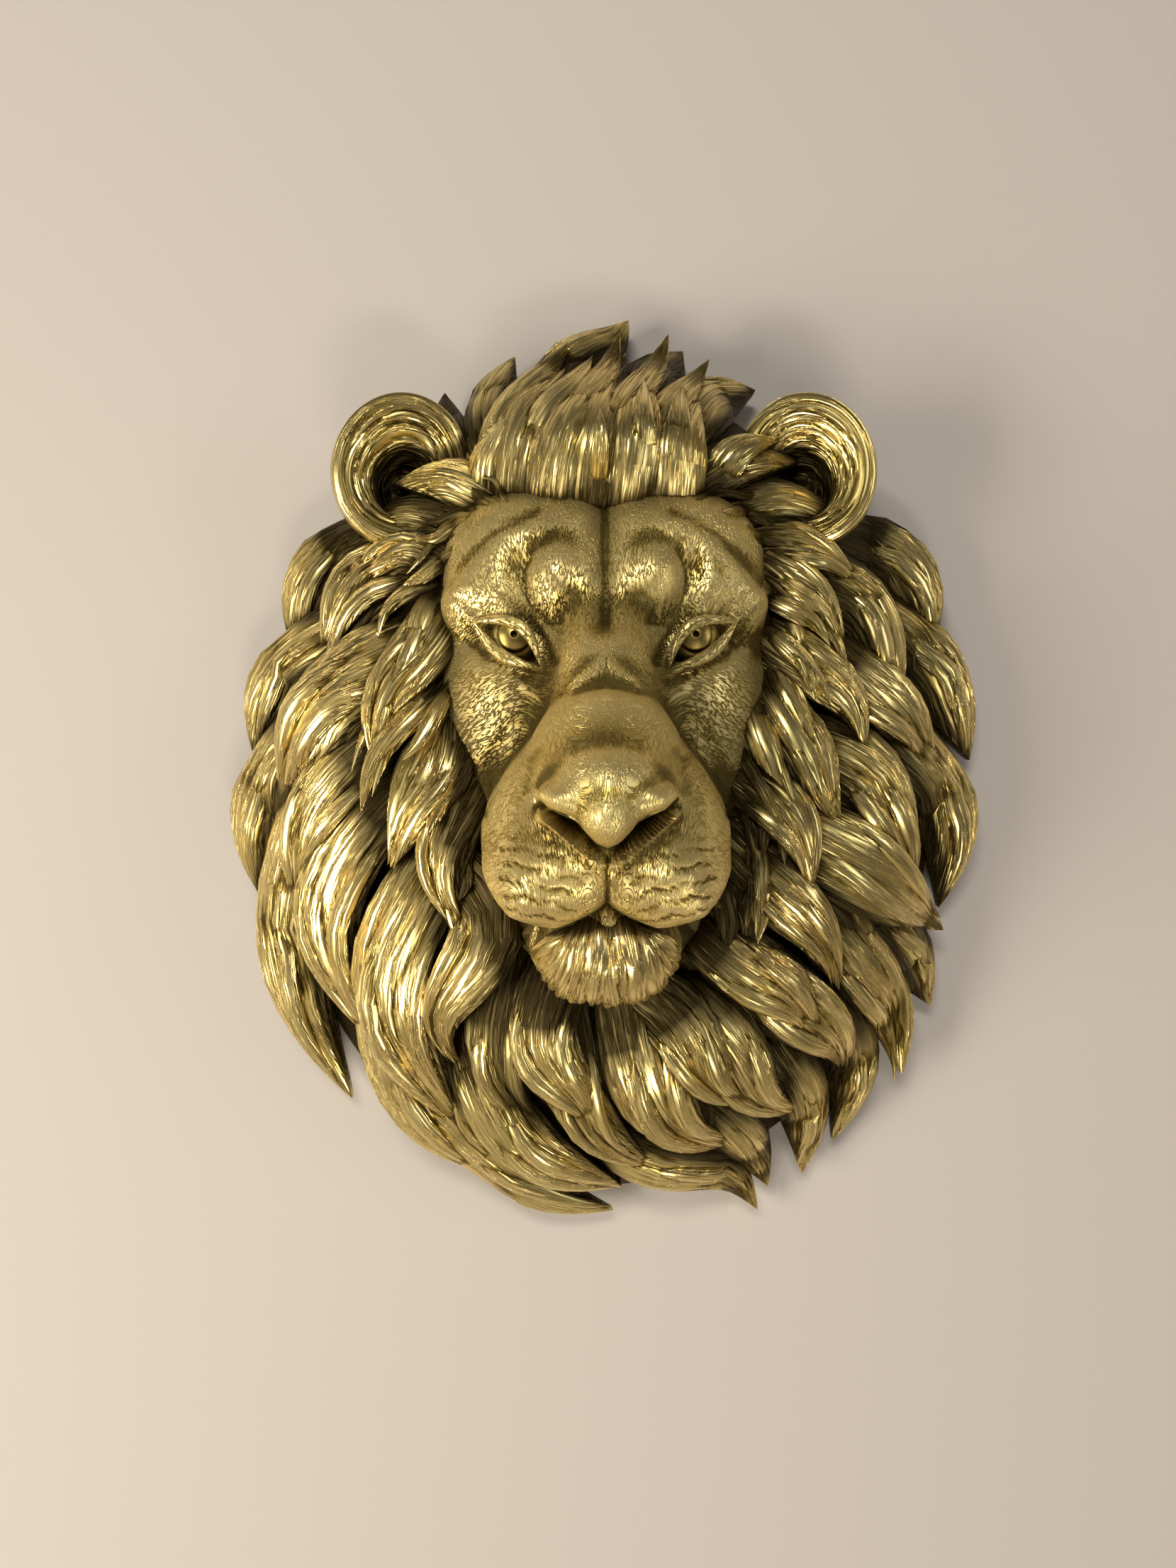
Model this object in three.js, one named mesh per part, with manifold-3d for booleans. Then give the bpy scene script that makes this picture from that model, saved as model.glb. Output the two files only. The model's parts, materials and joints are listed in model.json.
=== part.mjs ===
// A lion head wall mask, cast in one piece: a flat-backed bed that hangs against the wall, a mane of
// overlapping locks laid over it, and the lion's face and ears standing out of the middle.
// Millimetres. +Z is up, the wall is the plane y = 0 and the lion looks along -Y.
// A place on the mask is given as x and z on the wall and a depth, its distance out from the wall.

import * as THREE from "three";
import { mergeVertices } from "three/addons/utils/BufferGeometryUtils.js";
import Module from "manifold-3d";

// Driving dimensions. The carving is drawn for a mask of the drawn height, and grows with the mask's.
const MASK_HEIGHT = 346;
const DRAWN_HEIGHT = 346;
const share = MASK_HEIGHT / DRAWN_HEIGHT;

// The bed under the mane: an egg-shaped cushion with a firm rim, narrower at the top, with the crown's
// swelling behind the forehead. Past its rim its depth falls away to the least.
const BED = { halfWidth: 127, halfHeight: 155, middleZ: -6, narrowing: 0.12 };
const CUSHION = { rim: 10, rise: 46, fall: 40, least: 7 };
const CROWN = { z: 108, halfWidth: 46, halfHeight: 28, rise: 20 };
const WALL_BLOCK = 200; // thickness of the block that cuts the back flat

// How finely each form is cut.
const HEAD_FACETS = { around: 42, along: 24 };
const LOCK_FACETS = { around: 6, along: 6 };
const EAR_FACETS = { around: 12 };
const BED_FACETS = { around: 22, rings: 3 };
const EYE_FACETS = { around: 6, along: 5 };
const LID_FACETS = { around: 4, along: 5 };

// Tiers of the mane. Lifts are heights over the bed at a lock's root, middle and tip, thick is a lock's
// thickness as a share of its width, and least is how near to the wall its middle line may come.
const TIERS = {
  rim: { root: 2, middle: 5, tip: 2, thick: 0.6, least: 9 },
  middle: { root: 2, middle: 9, tip: 9, thick: 0.55, least: 9 },
  inner: { root: 2, middle: 11, tip: 13, thick: 0.55, least: 9 },
  crestBack: { root: 4, middle: 8, tip: 3, thick: 0.6, least: 9 },
  crestFront: { root: -2, middle: 10, tip: 20, thick: 0.6, least: 9 },
};
// A lock's section leans with a share of the bed's slope, and its underside is sunk into what it lies on.
// It leaves its root at the neck's share of its width, is fullest at that share of its length, and
// tapers to its tip with the given power.
const LOCK = { lean: 0.7, sunk: 2, neck: 0.62, fullest: 0.8, rootRound: 12, tipPower: 3 };

// Each lock: x and z of its root, x and z of its tip, how far it bows to one side on its way out, how far
// it swings into an S, and its width.
const LOCKS = {
  rim: [
    [86, 86, 126, 42, 12, 0, 34],
    [100, 56, 142, 3, 7, 0, 34],
    [108, 12, 130, -54, 12, 0, 32],
    [98, -52, 127, -92, 3, 0, 28],
    [82, -82, 89, -144, 9, 0, 26],
    [64, -104, 77, -157, 6, 0, 24],
    [34, -120, 64, -162, 4, 0, 24],
    [6, -140, 60, -171, 6, -3, 26],
    [-66, -122, 4, -171, -7, 2, 28],
    [-80, -88, -30, -158, -12, 0, 32],
    [-106, -16, -97, -128, -16, 0, 34],
    [-112, 12, -132, -50, -9, 0, 30],
    [-96, 50, -134, 2, -9, 0, 34],
    [-86, 86, -117, 41, -10, 0, 32],
  ],
  crestBack: [
    [-50, 112, -61, 145, 3, 0, 18],
    [-40, 118, -34, 159, 4, 0, 22],
    [-20, 130, 10, 173, 3, 2, 29],
    [12, 126, 31, 161, 2, 0, 28],
    [28, 120, 59, 146, 5, 0, 26],
  ],
  middle: [
    [74, 70, 110, 26, 8, 0, 30],
    [80, 40, 124, -4, 4, 0, 28],
    [72, 8, 117, -44, 7, 0, 32],
    [64, -22, 130, -62, 2, 2, 37],
    [76, -52, 114, -117, 7, 0, 30],
    [48, -68, 92, -115, 4, 0, 30],
    [30, -84, 74, -129, -4, 0, 29],
    [10, -86, 48, -141, -10, 0, 33],
    [-14, -90, 20, -149, -10, 0, 26],
    [-44, -112, 7, -158, -8, 0, 28],
    [-62, -42, -53, -133, -16, 0, 35],
    [-78, -14, -85, -101, -18, 0, 30],
    [-80, 8, -113, -55, -8, 0, 30],
    [-72, 38, -122, -13, -6, 0, 40],
    [-66, 76, -104, 37, -6, 0, 30],
  ],
  inner: [
    [54, 74, 84, 44, 4, 0, 21],
    [57, 46, 92, 6, 6, 0, 24],
    [52, 22, 82, -22, 5, 0, 22],
    [46, -2, 72, -42, 6, 0, 22],
    [44, -28, 84, -80, 5, 0, 24],
    [36, -58, 76, -100, 5, 0, 26],
    [14, -78, 54, -122, -2, 0, 27],
    [-18, -76, -4, -126, -7, 0, 27],
    [-56, -34, -53, -105, 8, 6, 27],
    [-44, -2, -48, -58, -9, 0, 23],
    [-52, 16, -74, -35, 4, 0, 22],
    [-55, 58, -80, 0, -4, 0, 24],
  ],
  crestFront: [
    [30, 98, 72, 112, 4, 0, 20],
    [42, 91, 88, 90, 5, 0, 21],
    [54, 80, 94, 67, 4, 0, 21],
    [-36, 94, -76, 103, -4, 0, 20],
    [-52, 86, -90, 85, -5, 0, 21],
    [-56, 72, -95, 66, -5, 0, 20],
    [-42, 92, -32, 124, 3, 0, 17],
    [-32, 92, -14, 146, 4, 0, 25],
    [-20, 90, 0, 144, 3, 0, 23],
    [-7, 90, 8, 153, 2, 0, 21],
    [8, 90, 15, 142, 0, 0, 22],
    [24, 90, 34, 130, 3, 0, 23],
  ],
};

// The tufts beside the jaw lie on the head itself. Rows as above.
const HEAD_TUFTS = [
  [33, -40, 34, -70, 3, 0, 13],
  [-34, -40, -33, -72, -3, 0, 12],
];

// The head as rounded masses: middle (x, depth, z), half sizes, and how softly each blends in. A mass off
// the middle is there on both sides.
const HEAD_MASSES = {
  face: { at: [0, 21, 28], half: [63, 56, 82], blend: 8 },
  forehead: { at: [0, 40, 72], half: [34, 31, 26], blend: 10 },
  frontalLobe: { at: [29, 40, 71], half: [29, 30, 28], blend: 12 },
  cheek: { at: [30, 42, 20], half: [26, 26, 40], blend: 16 },
  brow: { at: [36, 58, 56], half: [18, 10, 8], blend: 14 },
  browPad: { at: [16, 65, 63], half: [11, 13, 13], blend: 3 },
  upperBridge: { at: [0, 60, 46], half: [15, 21, 32], blend: 8 },
  lowerBridge: { at: [0, 74, 24], half: [19, 28, 26], blend: 10 },
  noseDome: { at: [0, 94, 3], half: [24, 30, 23], blend: 4 },
  noseTip: { at: [0, 116, -6], half: [17, 25, 13], blend: 10 },
  muzzle: { at: [0, 72, -18], half: [37, 42, 34], blend: 12 },
  lipPad: { at: [17, 99, -35], half: [21, 29, 18], blend: 6 },
  upperLip: { at: [0, 106, -30], half: [13, 22, 15], blend: 8 },
  noseLeather: { at: [0, 128, -15], half: [11, 17, 10], blend: 4 },
  nostrilWing: { at: [13, 126, -11], half: [8, 13, 6], blend: 5 },
  chin: { at: [0, 80, -58], half: [25, 27, 18], blend: 3 },
  jaw: { at: [0, 42, -42], half: [40, 38, 34], blend: 10 },
};

// Creases cut over the front of the head, on both sides: points (x, z), half width, and depth cut.
const HEAD_CREASES = {
  foreheadFurrow: { points: [[0, 98], [0, 70], [0, 44]], wide: 5, cut: 3 },
  eyeSocket: { points: [[41, 48], [32, 45], [23, 36]], wide: 7, cut: 4 },
  tearGroove: { points: [[21, 32], [19, 22], [24, 6]], wide: 6, cut: 2 },
  browPadEdge: { points: [[29, 68], [28, 58], [19, 49]], wide: 4, cut: 1.5 },
  philtrum: { points: [[0, -25], [0, -42]], wide: 3, cut: 1.5 },
  mouth: { points: [[0, -45], [15, -52], [31, -49], [40, -38]], wide: 3, cut: 3 },
  nostril: { points: [[8, -17], [14, -16], [20, -11]], wide: 3, cut: 4 },
};

// The head's surface is found along rays from its core. Most of the rays fan out over the front, up to the
// front's angle above and below, and crowd towards the middle. Each is walked from far out in short steps.
const HEAD_CORE = { depth: 44, z: 2 };
const FRONT = { share: 0.9, angle: 1.75, crowding: 0.45 };
const WALK = { from: 200, steps: 60, stride: 0.7 };

// The eyes: a ball in each socket under two lids.
const EYE = { x: 30.5, z: 44.5, depth: 59, radius: 12 };
const LID = { out: 12, in: 10, rise: 2, fall: 9, upper: 8, lower: 2.5, width: 4, over: 0.8 };

// The ears: cups on either side of the crest, leant and turned outwards in degrees. Their profile, as
// shares of the half sizes and as depths, runs from the back of the cup over its rim into the hollow.
const EAR = { x: 74, z: 107, depth: 36, halfWidth: 25, halfHeight: 28, turn: 14, lean: -14 };
const EAR_PROFILE = [
  [0, -16],
  [0.55, -14],
  [0.9, -5],
  [1, 4],
  [0.97, 8],
  [0.86, 9],
  [0.74, 5],
  [0.55, -2],
  [0.3, -5],
  [0, -6],
];

const GOLD = { color: 0xb08d3c, roughness: 0.35, metalness: 1 };

const wasm = await Module();
wasm.setup();

const mix = THREE.MathUtils.lerp;

// A place on the mask as a point of the model.
function place(x, depth, z) {
  return new THREE.Vector3(x, -depth, z).multiplyScalar(share);
}

// A closed geometry as a manifold-3d solid with its faces out, whichever way it was wrapped.
function solidOf(geometry) {
  geometry.deleteAttribute("normal");
  geometry.deleteAttribute("uv");
  const merged = mergeVertices(geometry, 1e-3);
  const corners = new Uint32Array(merged.index.array);
  const asSolid = () =>
    new wasm.Manifold(
      new wasm.Mesh({ numProp: 3, vertProperties: merged.attributes.position.array, triVerts: corners }),
    );
  const solid = asSolid();
  if (solid.volume() > 0) return solid;
  corners.reverse();
  return asSolid();
}

// A sphere's net of faces, with each vertex put where at(turn, down) says: turn runs 0 to 1 around it
// and down runs 0 to 1 from pole to pole.
function wrapped({ around, along }, at) {
  const geometry = new THREE.SphereGeometry(1, around, along);
  const position = geometry.attributes.position;
  for (let row = 0; row <= along; row++)
    for (let column = 0; column <= around; column++) {
      const turn = row === 0 || row === along ? 0 : (column % around) / around;
      const point = at(turn, row / along);
      position.setXYZ(row * (around + 1) + column, point.x, point.y, point.z);
    }
  return solidOf(geometry);
}

// The bed's width as a share of its greatest, at a height given as -1 at its foot and 1 at its top.
function bedWidth(up) {
  return 1 - BED.narrowing * Math.max(up, 0);
}

// Depth of the bed at (x, z): a cushion of elliptical plan, with the crown's swelling added.
function bedDepth(x, z) {
  const up = (z - BED.middleZ) / BED.halfHeight;
  const out = Math.hypot(x / (BED.halfWidth * bedWidth(up)), up);
  const cushion = CUSHION.rim + CUSHION.rise * (1 - Math.min(out, 1) ** 3);
  const fromCrown = (x / CROWN.halfWidth) ** 2 + ((z - CROWN.z) / CROWN.halfHeight) ** 2;
  const fallen = CUSHION.fall * Math.max(0, out - 1);
  return Math.max(CUSHION.least, cushion + CROWN.rise * Math.exp(-fromCrown) - fallen);
}

// About how far a place is from one rounded mass, below 0 inside it.
function massDistance({ at, half }, x, depth, z) {
  const away = [x - at[0], depth - at[1], z - at[2]];
  const scaled = Math.hypot(...away.map((d, i) => d / half[i]));
  const slope = Math.hypot(...away.map((d, i) => d / half[i] ** 2));
  return slope > 0 ? (scaled * (scaled - 1)) / slope : -Math.min(...half);
}

// Distance in the front view from (x, z) to a line through the given points.
function creaseDistance(points, x, z) {
  let nearest = Infinity;
  for (let i = 1; i < points.length; i++) {
    const [ax, az] = points[i - 1];
    const [bx, bz] = points[i];
    const along = ((x - ax) * (bx - ax) + (z - az) * (bz - az)) / ((bx - ax) ** 2 + (bz - az) ** 2);
    const t = THREE.MathUtils.clamp(along, 0, 1);
    nearest = Math.min(nearest, Math.hypot(x - mix(ax, bx, t), z - mix(az, bz, t)));
  }
  return nearest;
}

// About how far a place is from the whole head: its masses run together softly, and the creases are cut
// into its front. Both sides are alike, so only one is measured.
function headDistance(x, depth, z) {
  const side = Math.abs(x);
  let nearest = Infinity;
  for (const mass of Object.values(HEAD_MASSES)) {
    const next = massDistance(mass, side, depth, z);
    const overlap = Math.max(1 - Math.abs(nearest - next) / mass.blend, 0);
    nearest = Math.min(nearest, next) - (overlap ** 2 * mass.blend) / 4;
  }
  if (depth < HEAD_CORE.depth) return nearest;
  for (const { points, wide, cut } of Object.values(HEAD_CREASES))
    nearest += cut * Math.exp(-((creaseDistance(points, side, z) / wide) ** 2));
  return nearest;
}

// How far from (x, depth, z) the head's surface is along a direction, walking in from far out.
function headReach(x, depth, z, direction) {
  let reach = WALK.from;
  for (let step = 0; step < WALK.steps; step++) {
    const here = [x + direction[0] * reach, depth + direction[1] * reach, z + direction[2] * reach];
    reach -= WALK.stride * headDistance(...here);
  }
  return reach;
}

// Depth of the head's front surface at (x, z).
function headDepth(x, z) {
  return headReach(x, 0, z, [0, 1, 0]);
}

// The head: rays leave its core in all directions and each stops at the surface. The poles of the net are
// at the cheeks, under the mane.
function head() {
  return wrapped(HEAD_FACETS, (turn, down) => {
    const pitch = rayPitch(2 * turn - 1);
    const across = 2 * down - 1;
    const yaw = (Math.PI / 2) * mix(across, across ** 3, FRONT.crowding);
    const direction = [Math.sin(yaw), Math.cos(yaw) * Math.cos(pitch), Math.cos(yaw) * Math.sin(pitch)];
    const reach = headReach(0, HEAD_CORE.depth, HEAD_CORE.z, direction);
    const [x, depth, z] = direction.map((d) => d * reach);
    return place(x, HEAD_CORE.depth + depth, HEAD_CORE.z + z);
  });
}

// Pitch of a ray whose place round the net runs from -1 to 1: even over the front, and few behind it.
function rayPitch(round) {
  const past = (Math.abs(round) - FRONT.share) / (1 - FRONT.share);
  if (past <= 0) return (round / FRONT.share) * FRONT.angle;
  return Math.sign(round) * mix(FRONT.angle, Math.PI, past);
}

// A lock as a solid: sections strung along a path that swings from root to tip, round on top and with
// straight sides that go down into what the lock lies on. depthAt gives the path's depth at (x, z) and
// along the lock, and groundAt the depth of what is under it.
function lock(row, { thick, depthAt, groundAt, facets = LOCK_FACETS }) {
  const [rootX, rootZ, tipX, tipZ, bow, swing, width] = row;
  const acrossX = rootZ - tipZ;
  const acrossZ = tipX - rootX;
  const span = Math.hypot(acrossX, acrossZ);
  const pathAt = (t) => {
    const aside = (bow * Math.sin(Math.PI * t) + swing * Math.sin(2 * Math.PI * t)) / span;
    const x = mix(rootX, tipX, t) + acrossX * aside;
    const z = mix(rootZ, tipZ, t) + acrossZ * aside;
    return new THREE.Vector3(x, -depthAt(x, z, t), z);
  };
  const nearby = 0.02;
  return wrapped(facets, (turn, down) => {
    const t = (1 - Math.cos(Math.PI * down)) / 2;
    const point = pathAt(t);
    const ahead = pathAt(t + nearby).sub(pathAt(t - nearby)).normalize();
    const up = bedNormal(point.x, point.z);
    up.addScaledVector(ahead, -up.dot(ahead)).normalize();
    const sideways = new THREE.Vector3().crossVectors(ahead, up);
    const half = (width / 2) * lockFullness(t);
    const angle = 2 * Math.PI * turn;
    const below = Math.sin(angle) < 0 && turn > 0.5;
    point.addScaledVector(sideways, half * (below ? Math.sign(Math.cos(angle)) : Math.cos(angle)));
    if (below) point.y = Math.max(point.y, LOCK.sunk - groundAt(point.x, point.z));
    else point.addScaledVector(up, half * thick * Math.sin(angle));
    return point.multiplyScalar(share);
  });
}

// A lock's width along it as a share of its greatest: round at the root, fullest past its middle, and
// drawn out to its tip.
function lockFullness(t) {
  const swell = mix(LOCK.neck, 1, Math.sin(Math.PI * Math.min(t / LOCK.fullest, 1)));
  const rounded = Math.sqrt(Math.min(1, t * LOCK.rootRound));
  return swell * rounded * Math.sqrt(Math.max(0, 1 - t ** LOCK.tipPower));
}

// Which way a lock's section leans at (x, z).
function bedNormal(x, z) {
  const step = 2;
  const slopeX = (bedDepth(x + step, z) - bedDepth(x - step, z)) / (2 * step);
  const slopeZ = (bedDepth(x, z + step) - bedDepth(x, z - step)) / (2 * step);
  return new THREE.Vector3(-slopeX * LOCK.lean, -1, -slopeZ * LOCK.lean).normalize();
}

// A lock of one of the mane's tiers, laid on the bed.
function maneLock(row, tier) {
  const depthAt = (x, z, t) => {
    const bulge = tier.middle - (tier.root + tier.tip) / 2;
    const lift = mix(tier.root, tier.tip, t) + bulge * Math.sin(Math.PI * t);
    return Math.max(bedDepth(x, z) + lift, tier.least);
  };
  return lock(row, { thick: tier.thick, depthAt, groundAt: bedDepth });
}

// A tuft that lies on the head.
function headTuft(row) {
  const depthAt = (x, z) => Math.max(headDepth(x, z), bedDepth(x, z));
  const groundAt = (x, z) => depthAt(x, z) - row.at(-1);
  return lock(row, { thick: 1, depthAt, groundAt });
}

// The bed: rings that run from the middle of the back, which is cut off later, round the rim and up to the
// top of the cushion.
function bed() {
  const rows = BED_FACETS.rings + 2;
  return wrapped({ around: BED_FACETS.around, along: rows }, (turn, down) => {
    const ring = Math.round(down * rows);
    const behind = ring < 2;
    const out = behind ? ring : Math.cos(((ring - 2) / BED_FACETS.rings) * (Math.PI / 2));
    const up = out * Math.sin(2 * Math.PI * turn);
    const x = out * BED.halfWidth * bedWidth(up) * Math.cos(2 * Math.PI * turn);
    const z = BED.middleZ + up * BED.halfHeight;
    return place(x, behind ? -CUSHION.rim : bedDepth(x, z), z);
  });
}

// An ear on one side, +1 or -1: the cup's profile carried round an ellipse, then turned outwards.
function ear(side) {
  const lean = side * THREE.MathUtils.degToRad(EAR.lean);
  const turned = new THREE.Euler(0, lean, -side * THREE.MathUtils.degToRad(EAR.turn));
  return wrapped({ around: EAR_FACETS.around, along: EAR_PROFILE.length - 1 }, (turn, down) => {
    const [reach, out] = EAR_PROFILE[Math.round(down * (EAR_PROFILE.length - 1))];
    const angle = 2 * Math.PI * turn;
    const across = EAR.halfWidth * reach * Math.cos(angle);
    const upright = EAR.halfHeight * reach * Math.sin(angle);
    const point = new THREE.Vector3(across, -out, upright).applyEuler(turned);
    return place(side * EAR.x + point.x, EAR.depth - point.y, EAR.z + point.z);
  });
}

// One eye: the ball, and an upper and a lower lid bowed round it.
function eye(side) {
  const ball = wrapped(EYE_FACETS, (turn, down) => {
    const polar = Math.PI * down;
    return place(
      side * EYE.x + EYE.radius * Math.sin(polar) * Math.cos(2 * Math.PI * turn),
      EYE.depth + EYE.radius * Math.sin(polar) * Math.sin(2 * Math.PI * turn),
      EYE.z + EYE.radius * Math.cos(polar),
    );
  });
  const depthAt = (x, z) => Math.max(headDepth(x, z), ballDepth(x, z, side)) + LID.over;
  const corners = [side * (EYE.x + LID.out), EYE.z + LID.rise, side * (EYE.x - LID.in), EYE.z - LID.fall];
  const groundAt = (x, z) => depthAt(x, z) - LID.width;
  const lids = [-LID.upper, LID.lower].map((bow) =>
    lock([...corners, side * bow, 0, LID.width], { thick: 1, depthAt, groundAt, facets: LID_FACETS }),
  );
  return [ball, ...lids];
}

// Depth of an eyeball's front at (x, z), or 0 beside it.
function ballDepth(x, z, side) {
  const away = Math.hypot(x - side * EYE.x, z - EYE.z);
  return away < EYE.radius ? EYE.depth + Math.sqrt(EYE.radius ** 2 - away ** 2) : 0;
}

// The corners of a solid's skins, three to a triangle, without those of pockets sealed between the locks.
// Triangles that share a vertex belong to one skin, and a pocket's skin holds a volume below 0.
function withoutPockets(vertices, corners) {
  const leaders = Array.from({ length: vertices.length / 3 }, (_, vertex) => vertex);
  const leaderOf = (vertex) => {
    let leader = vertex;
    while (leaders[leader] !== leader) leader = leaders[leader];
    leaders[vertex] = leader;
    return leader;
  };
  const pointOf = (vertex) => new THREE.Vector3().fromArray(vertices, 3 * vertex);
  for (let i = 0; i < corners.length; i += 3)
    for (const other of [corners[i + 1], corners[i + 2]]) leaders[leaderOf(other)] = leaderOf(corners[i]);
  const volumes = new Float64Array(leaders.length);
  for (let i = 0; i < corners.length; i += 3) {
    const [a, b, c] = [corners[i], corners[i + 1], corners[i + 2]].map(pointOf);
    volumes[leaderOf(corners[i])] += a.dot(b.cross(c)) / 6;
  }
  return corners.filter((vertex) => volumes[leaderOf(vertex)] > 0);
}

// Everything joined into the one casting, and cut flat where it meets the wall.
function casting() {
  const wall = new THREE.BoxGeometry(3 * MASK_HEIGHT, WALL_BLOCK, 3 * MASK_HEIGHT);
  wall.translate(0, WALL_BLOCK / 2, 0);
  const tierLocks = ([tier, rows]) => rows.map((row) => maneLock(row, TIERS[tier]));
  const locks = Object.entries(LOCKS).flatMap(tierLocks);
  const sides = [1, -1].flatMap((side) => [ear(side), ...eye(side)]);
  const forms = [bed(), head(), ...sides, ...locks, ...HEAD_TUFTS.map(headTuft)];
  const joined = forms.reduce((whole, form) => whole.add(form)).subtract(solidOf(wall));
  const { vertProperties, triVerts } = joined.getMesh();
  const geometry = new THREE.BufferGeometry();
  geometry.setAttribute("position", new THREE.BufferAttribute(vertProperties, 3));
  geometry.setIndex(new THREE.BufferAttribute(withoutPockets(vertProperties, triVerts), 1));
  const faceted = geometry.toNonIndexed();
  faceted.computeVertexNormals();
  return faceted;
}

const mask = new THREE.Mesh(casting(), new THREE.MeshStandardMaterial(GOLD));
mask.name = "lion_head_mask";

const model = new THREE.Group();
model.add(mask);

export default model;
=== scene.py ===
# %% [markdown]
# # A gold lion head wall mask
# The real mask is one resin casting, brushed with gold paint: a flat-backed bed, a mane of swept locks,
# two ears and a face in high relief. This lesson works out every surface with numpy from a few measures,
# lays it over the fixed model, and paints it. The fixed model is loaded first, because it gives the
# frame: metres, +Z up, the wall at y = 0 and the lion looking along -Y.

# %% Load the frame
import json

import bpy
import numpy as np
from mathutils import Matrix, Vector

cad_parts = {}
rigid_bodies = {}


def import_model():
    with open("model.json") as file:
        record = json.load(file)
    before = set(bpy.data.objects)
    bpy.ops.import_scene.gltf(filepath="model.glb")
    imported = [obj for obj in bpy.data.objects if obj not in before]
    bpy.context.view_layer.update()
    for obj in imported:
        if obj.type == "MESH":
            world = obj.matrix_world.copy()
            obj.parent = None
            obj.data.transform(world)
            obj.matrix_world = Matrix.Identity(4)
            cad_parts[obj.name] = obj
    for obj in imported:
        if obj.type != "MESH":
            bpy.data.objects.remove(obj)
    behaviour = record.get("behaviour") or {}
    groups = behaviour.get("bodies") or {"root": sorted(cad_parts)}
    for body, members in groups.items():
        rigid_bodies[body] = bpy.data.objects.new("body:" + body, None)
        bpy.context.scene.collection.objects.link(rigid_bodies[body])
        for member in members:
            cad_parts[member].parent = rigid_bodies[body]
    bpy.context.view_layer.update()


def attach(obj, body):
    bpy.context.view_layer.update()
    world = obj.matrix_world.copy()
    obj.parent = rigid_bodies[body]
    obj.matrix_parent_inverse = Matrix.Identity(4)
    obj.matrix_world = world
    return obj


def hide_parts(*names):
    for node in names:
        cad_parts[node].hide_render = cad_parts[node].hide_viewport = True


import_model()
CASTING = "lion_head_mask"
MM = 0.001

# %% [markdown]
# ## Camera
# The photograph was taken from straight in front, so close that the nose looks large and the mane falls
# away. A real lens gives that for free: the camera stands where the phone stood, level, and its lens is
# worked out from the photograph's focal length in pixels.

# %% Camera
PHOTO_HIGH = 2212
PHOTO_FOCAL = 1661
SENSOR = 36.0
CAMERA_X, CAMERA_OUT, CAMERA_Z = -5.7, 465.0, -6.2

lens = bpy.data.cameras.new("camera")
lens.sensor_width = SENSOR
lens.lens = PHOTO_FOCAL / PHOTO_HIGH * SENSOR
camera = bpy.data.objects.new("camera", lens)
camera.location = (CAMERA_X * MM, -CAMERA_OUT * MM, CAMERA_Z * MM)
camera.rotation_euler = (np.pi / 2, 0, 0)
bpy.context.scene.collection.objects.link(camera)
bpy.context.scene.camera = camera
print(f"Lens {lens.lens:.1f} mm, {CAMERA_OUT:.0f} mm from the wall")

# %% [markdown]
# ## From a grid of points to a closed skin
# Nearly every form here is a closed skin: rings of points strung from one end to the other, drawn to a
# single point at both ends. Blender could lathe or loft such forms with modifiers, but a grid worked out
# as one array is exact, quick, and easy to carve. Each skin also carries where its hair runs, as three
# numbers a point: across the strands, along them, and a number of its own.

# %% Closed skins
LOCK, FUR, SLEEK = 0, 1, 2


def closed_skin(rings, start, end, hair, paint=LOCK):
    """A skin through rings[ring, place], closed by the points start and end. hair[ring, place] tells how
    its hair runs. Its triangles are turned over if the volume that they hold comes out negative."""
    count, around = rings.shape[:2]
    points = np.concatenate([[start], rings.reshape(-1, 3), [end]])
    corner = 1 + np.arange(count * around).reshape(count, around)
    beside = np.roll(corner, -1, axis=1)
    first = np.stack([np.zeros(around, int), corner[0], beside[0]], -1)
    last = np.stack([np.full(around, len(points) - 1), beside[-1], corner[-1]], -1)
    low, low_beside, high, high_beside = corner[:-1], beside[:-1], corner[1:], beside[1:]
    one = np.stack([low, high, low_beside], -1).reshape(-1, 3)
    other = np.stack([low_beside, high, high_beside], -1).reshape(-1, 3)
    faces = np.concatenate([first, one, other, last])
    a, b, c = (points[faces[:, k]] for k in range(3))
    if np.einsum("ij,ij->", a, np.cross(b, c)) < 0:
        faces = faces[:, ::-1]
    ends = hair[0].mean(0), hair[-1].mean(0)
    hair = np.vstack([ends[0], hair.reshape(-1, 3), ends[1]])
    return {"points": points, "faces": faces, "hair": hair, "paint": paint}


def unit(vectors):
    """Vectors at length 1."""
    return vectors / np.maximum(np.linalg.norm(vectors, axis=-1, keepdims=True), 1e-9)


def mix(a, b, share):
    """From a to b by that share."""
    return a + (b - a) * share


def smooth(low, high, value):
    """0 below low, 1 above high, and an S-curve between."""
    share = np.clip((value - low) / (high - low), 0, 1)
    return share * share * (3 - 2 * share)

# %% [markdown]
# ## The bed
# Behind the hair lies a cushion of egg-shaped plan. Its depth over the wall is a formula of x and z, the
# same one as in the fixed model, and every lock of the mane is laid on it.

# %% Bed
BED_HALF_WIDE, BED_HALF_HIGH, BED_MIDDLE, BED_NARROWING = 127.0, 155.0, -6.0, 0.12
CUSHION_RIM, CUSHION_RISE, CUSHION_FALL, CUSHION_LEAST = 10.0, 46.0, 40.0, 7.0
CROWN_Z, CROWN_HALF_WIDE, CROWN_HALF_HIGH, CROWN_RISE = 108.0, 46.0, 28.0, 20.0


def bed_width(up):
    """The bed's width as a share of its greatest: it narrows towards the top."""
    return 1 - BED_NARROWING * np.maximum(up, 0)


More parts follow.
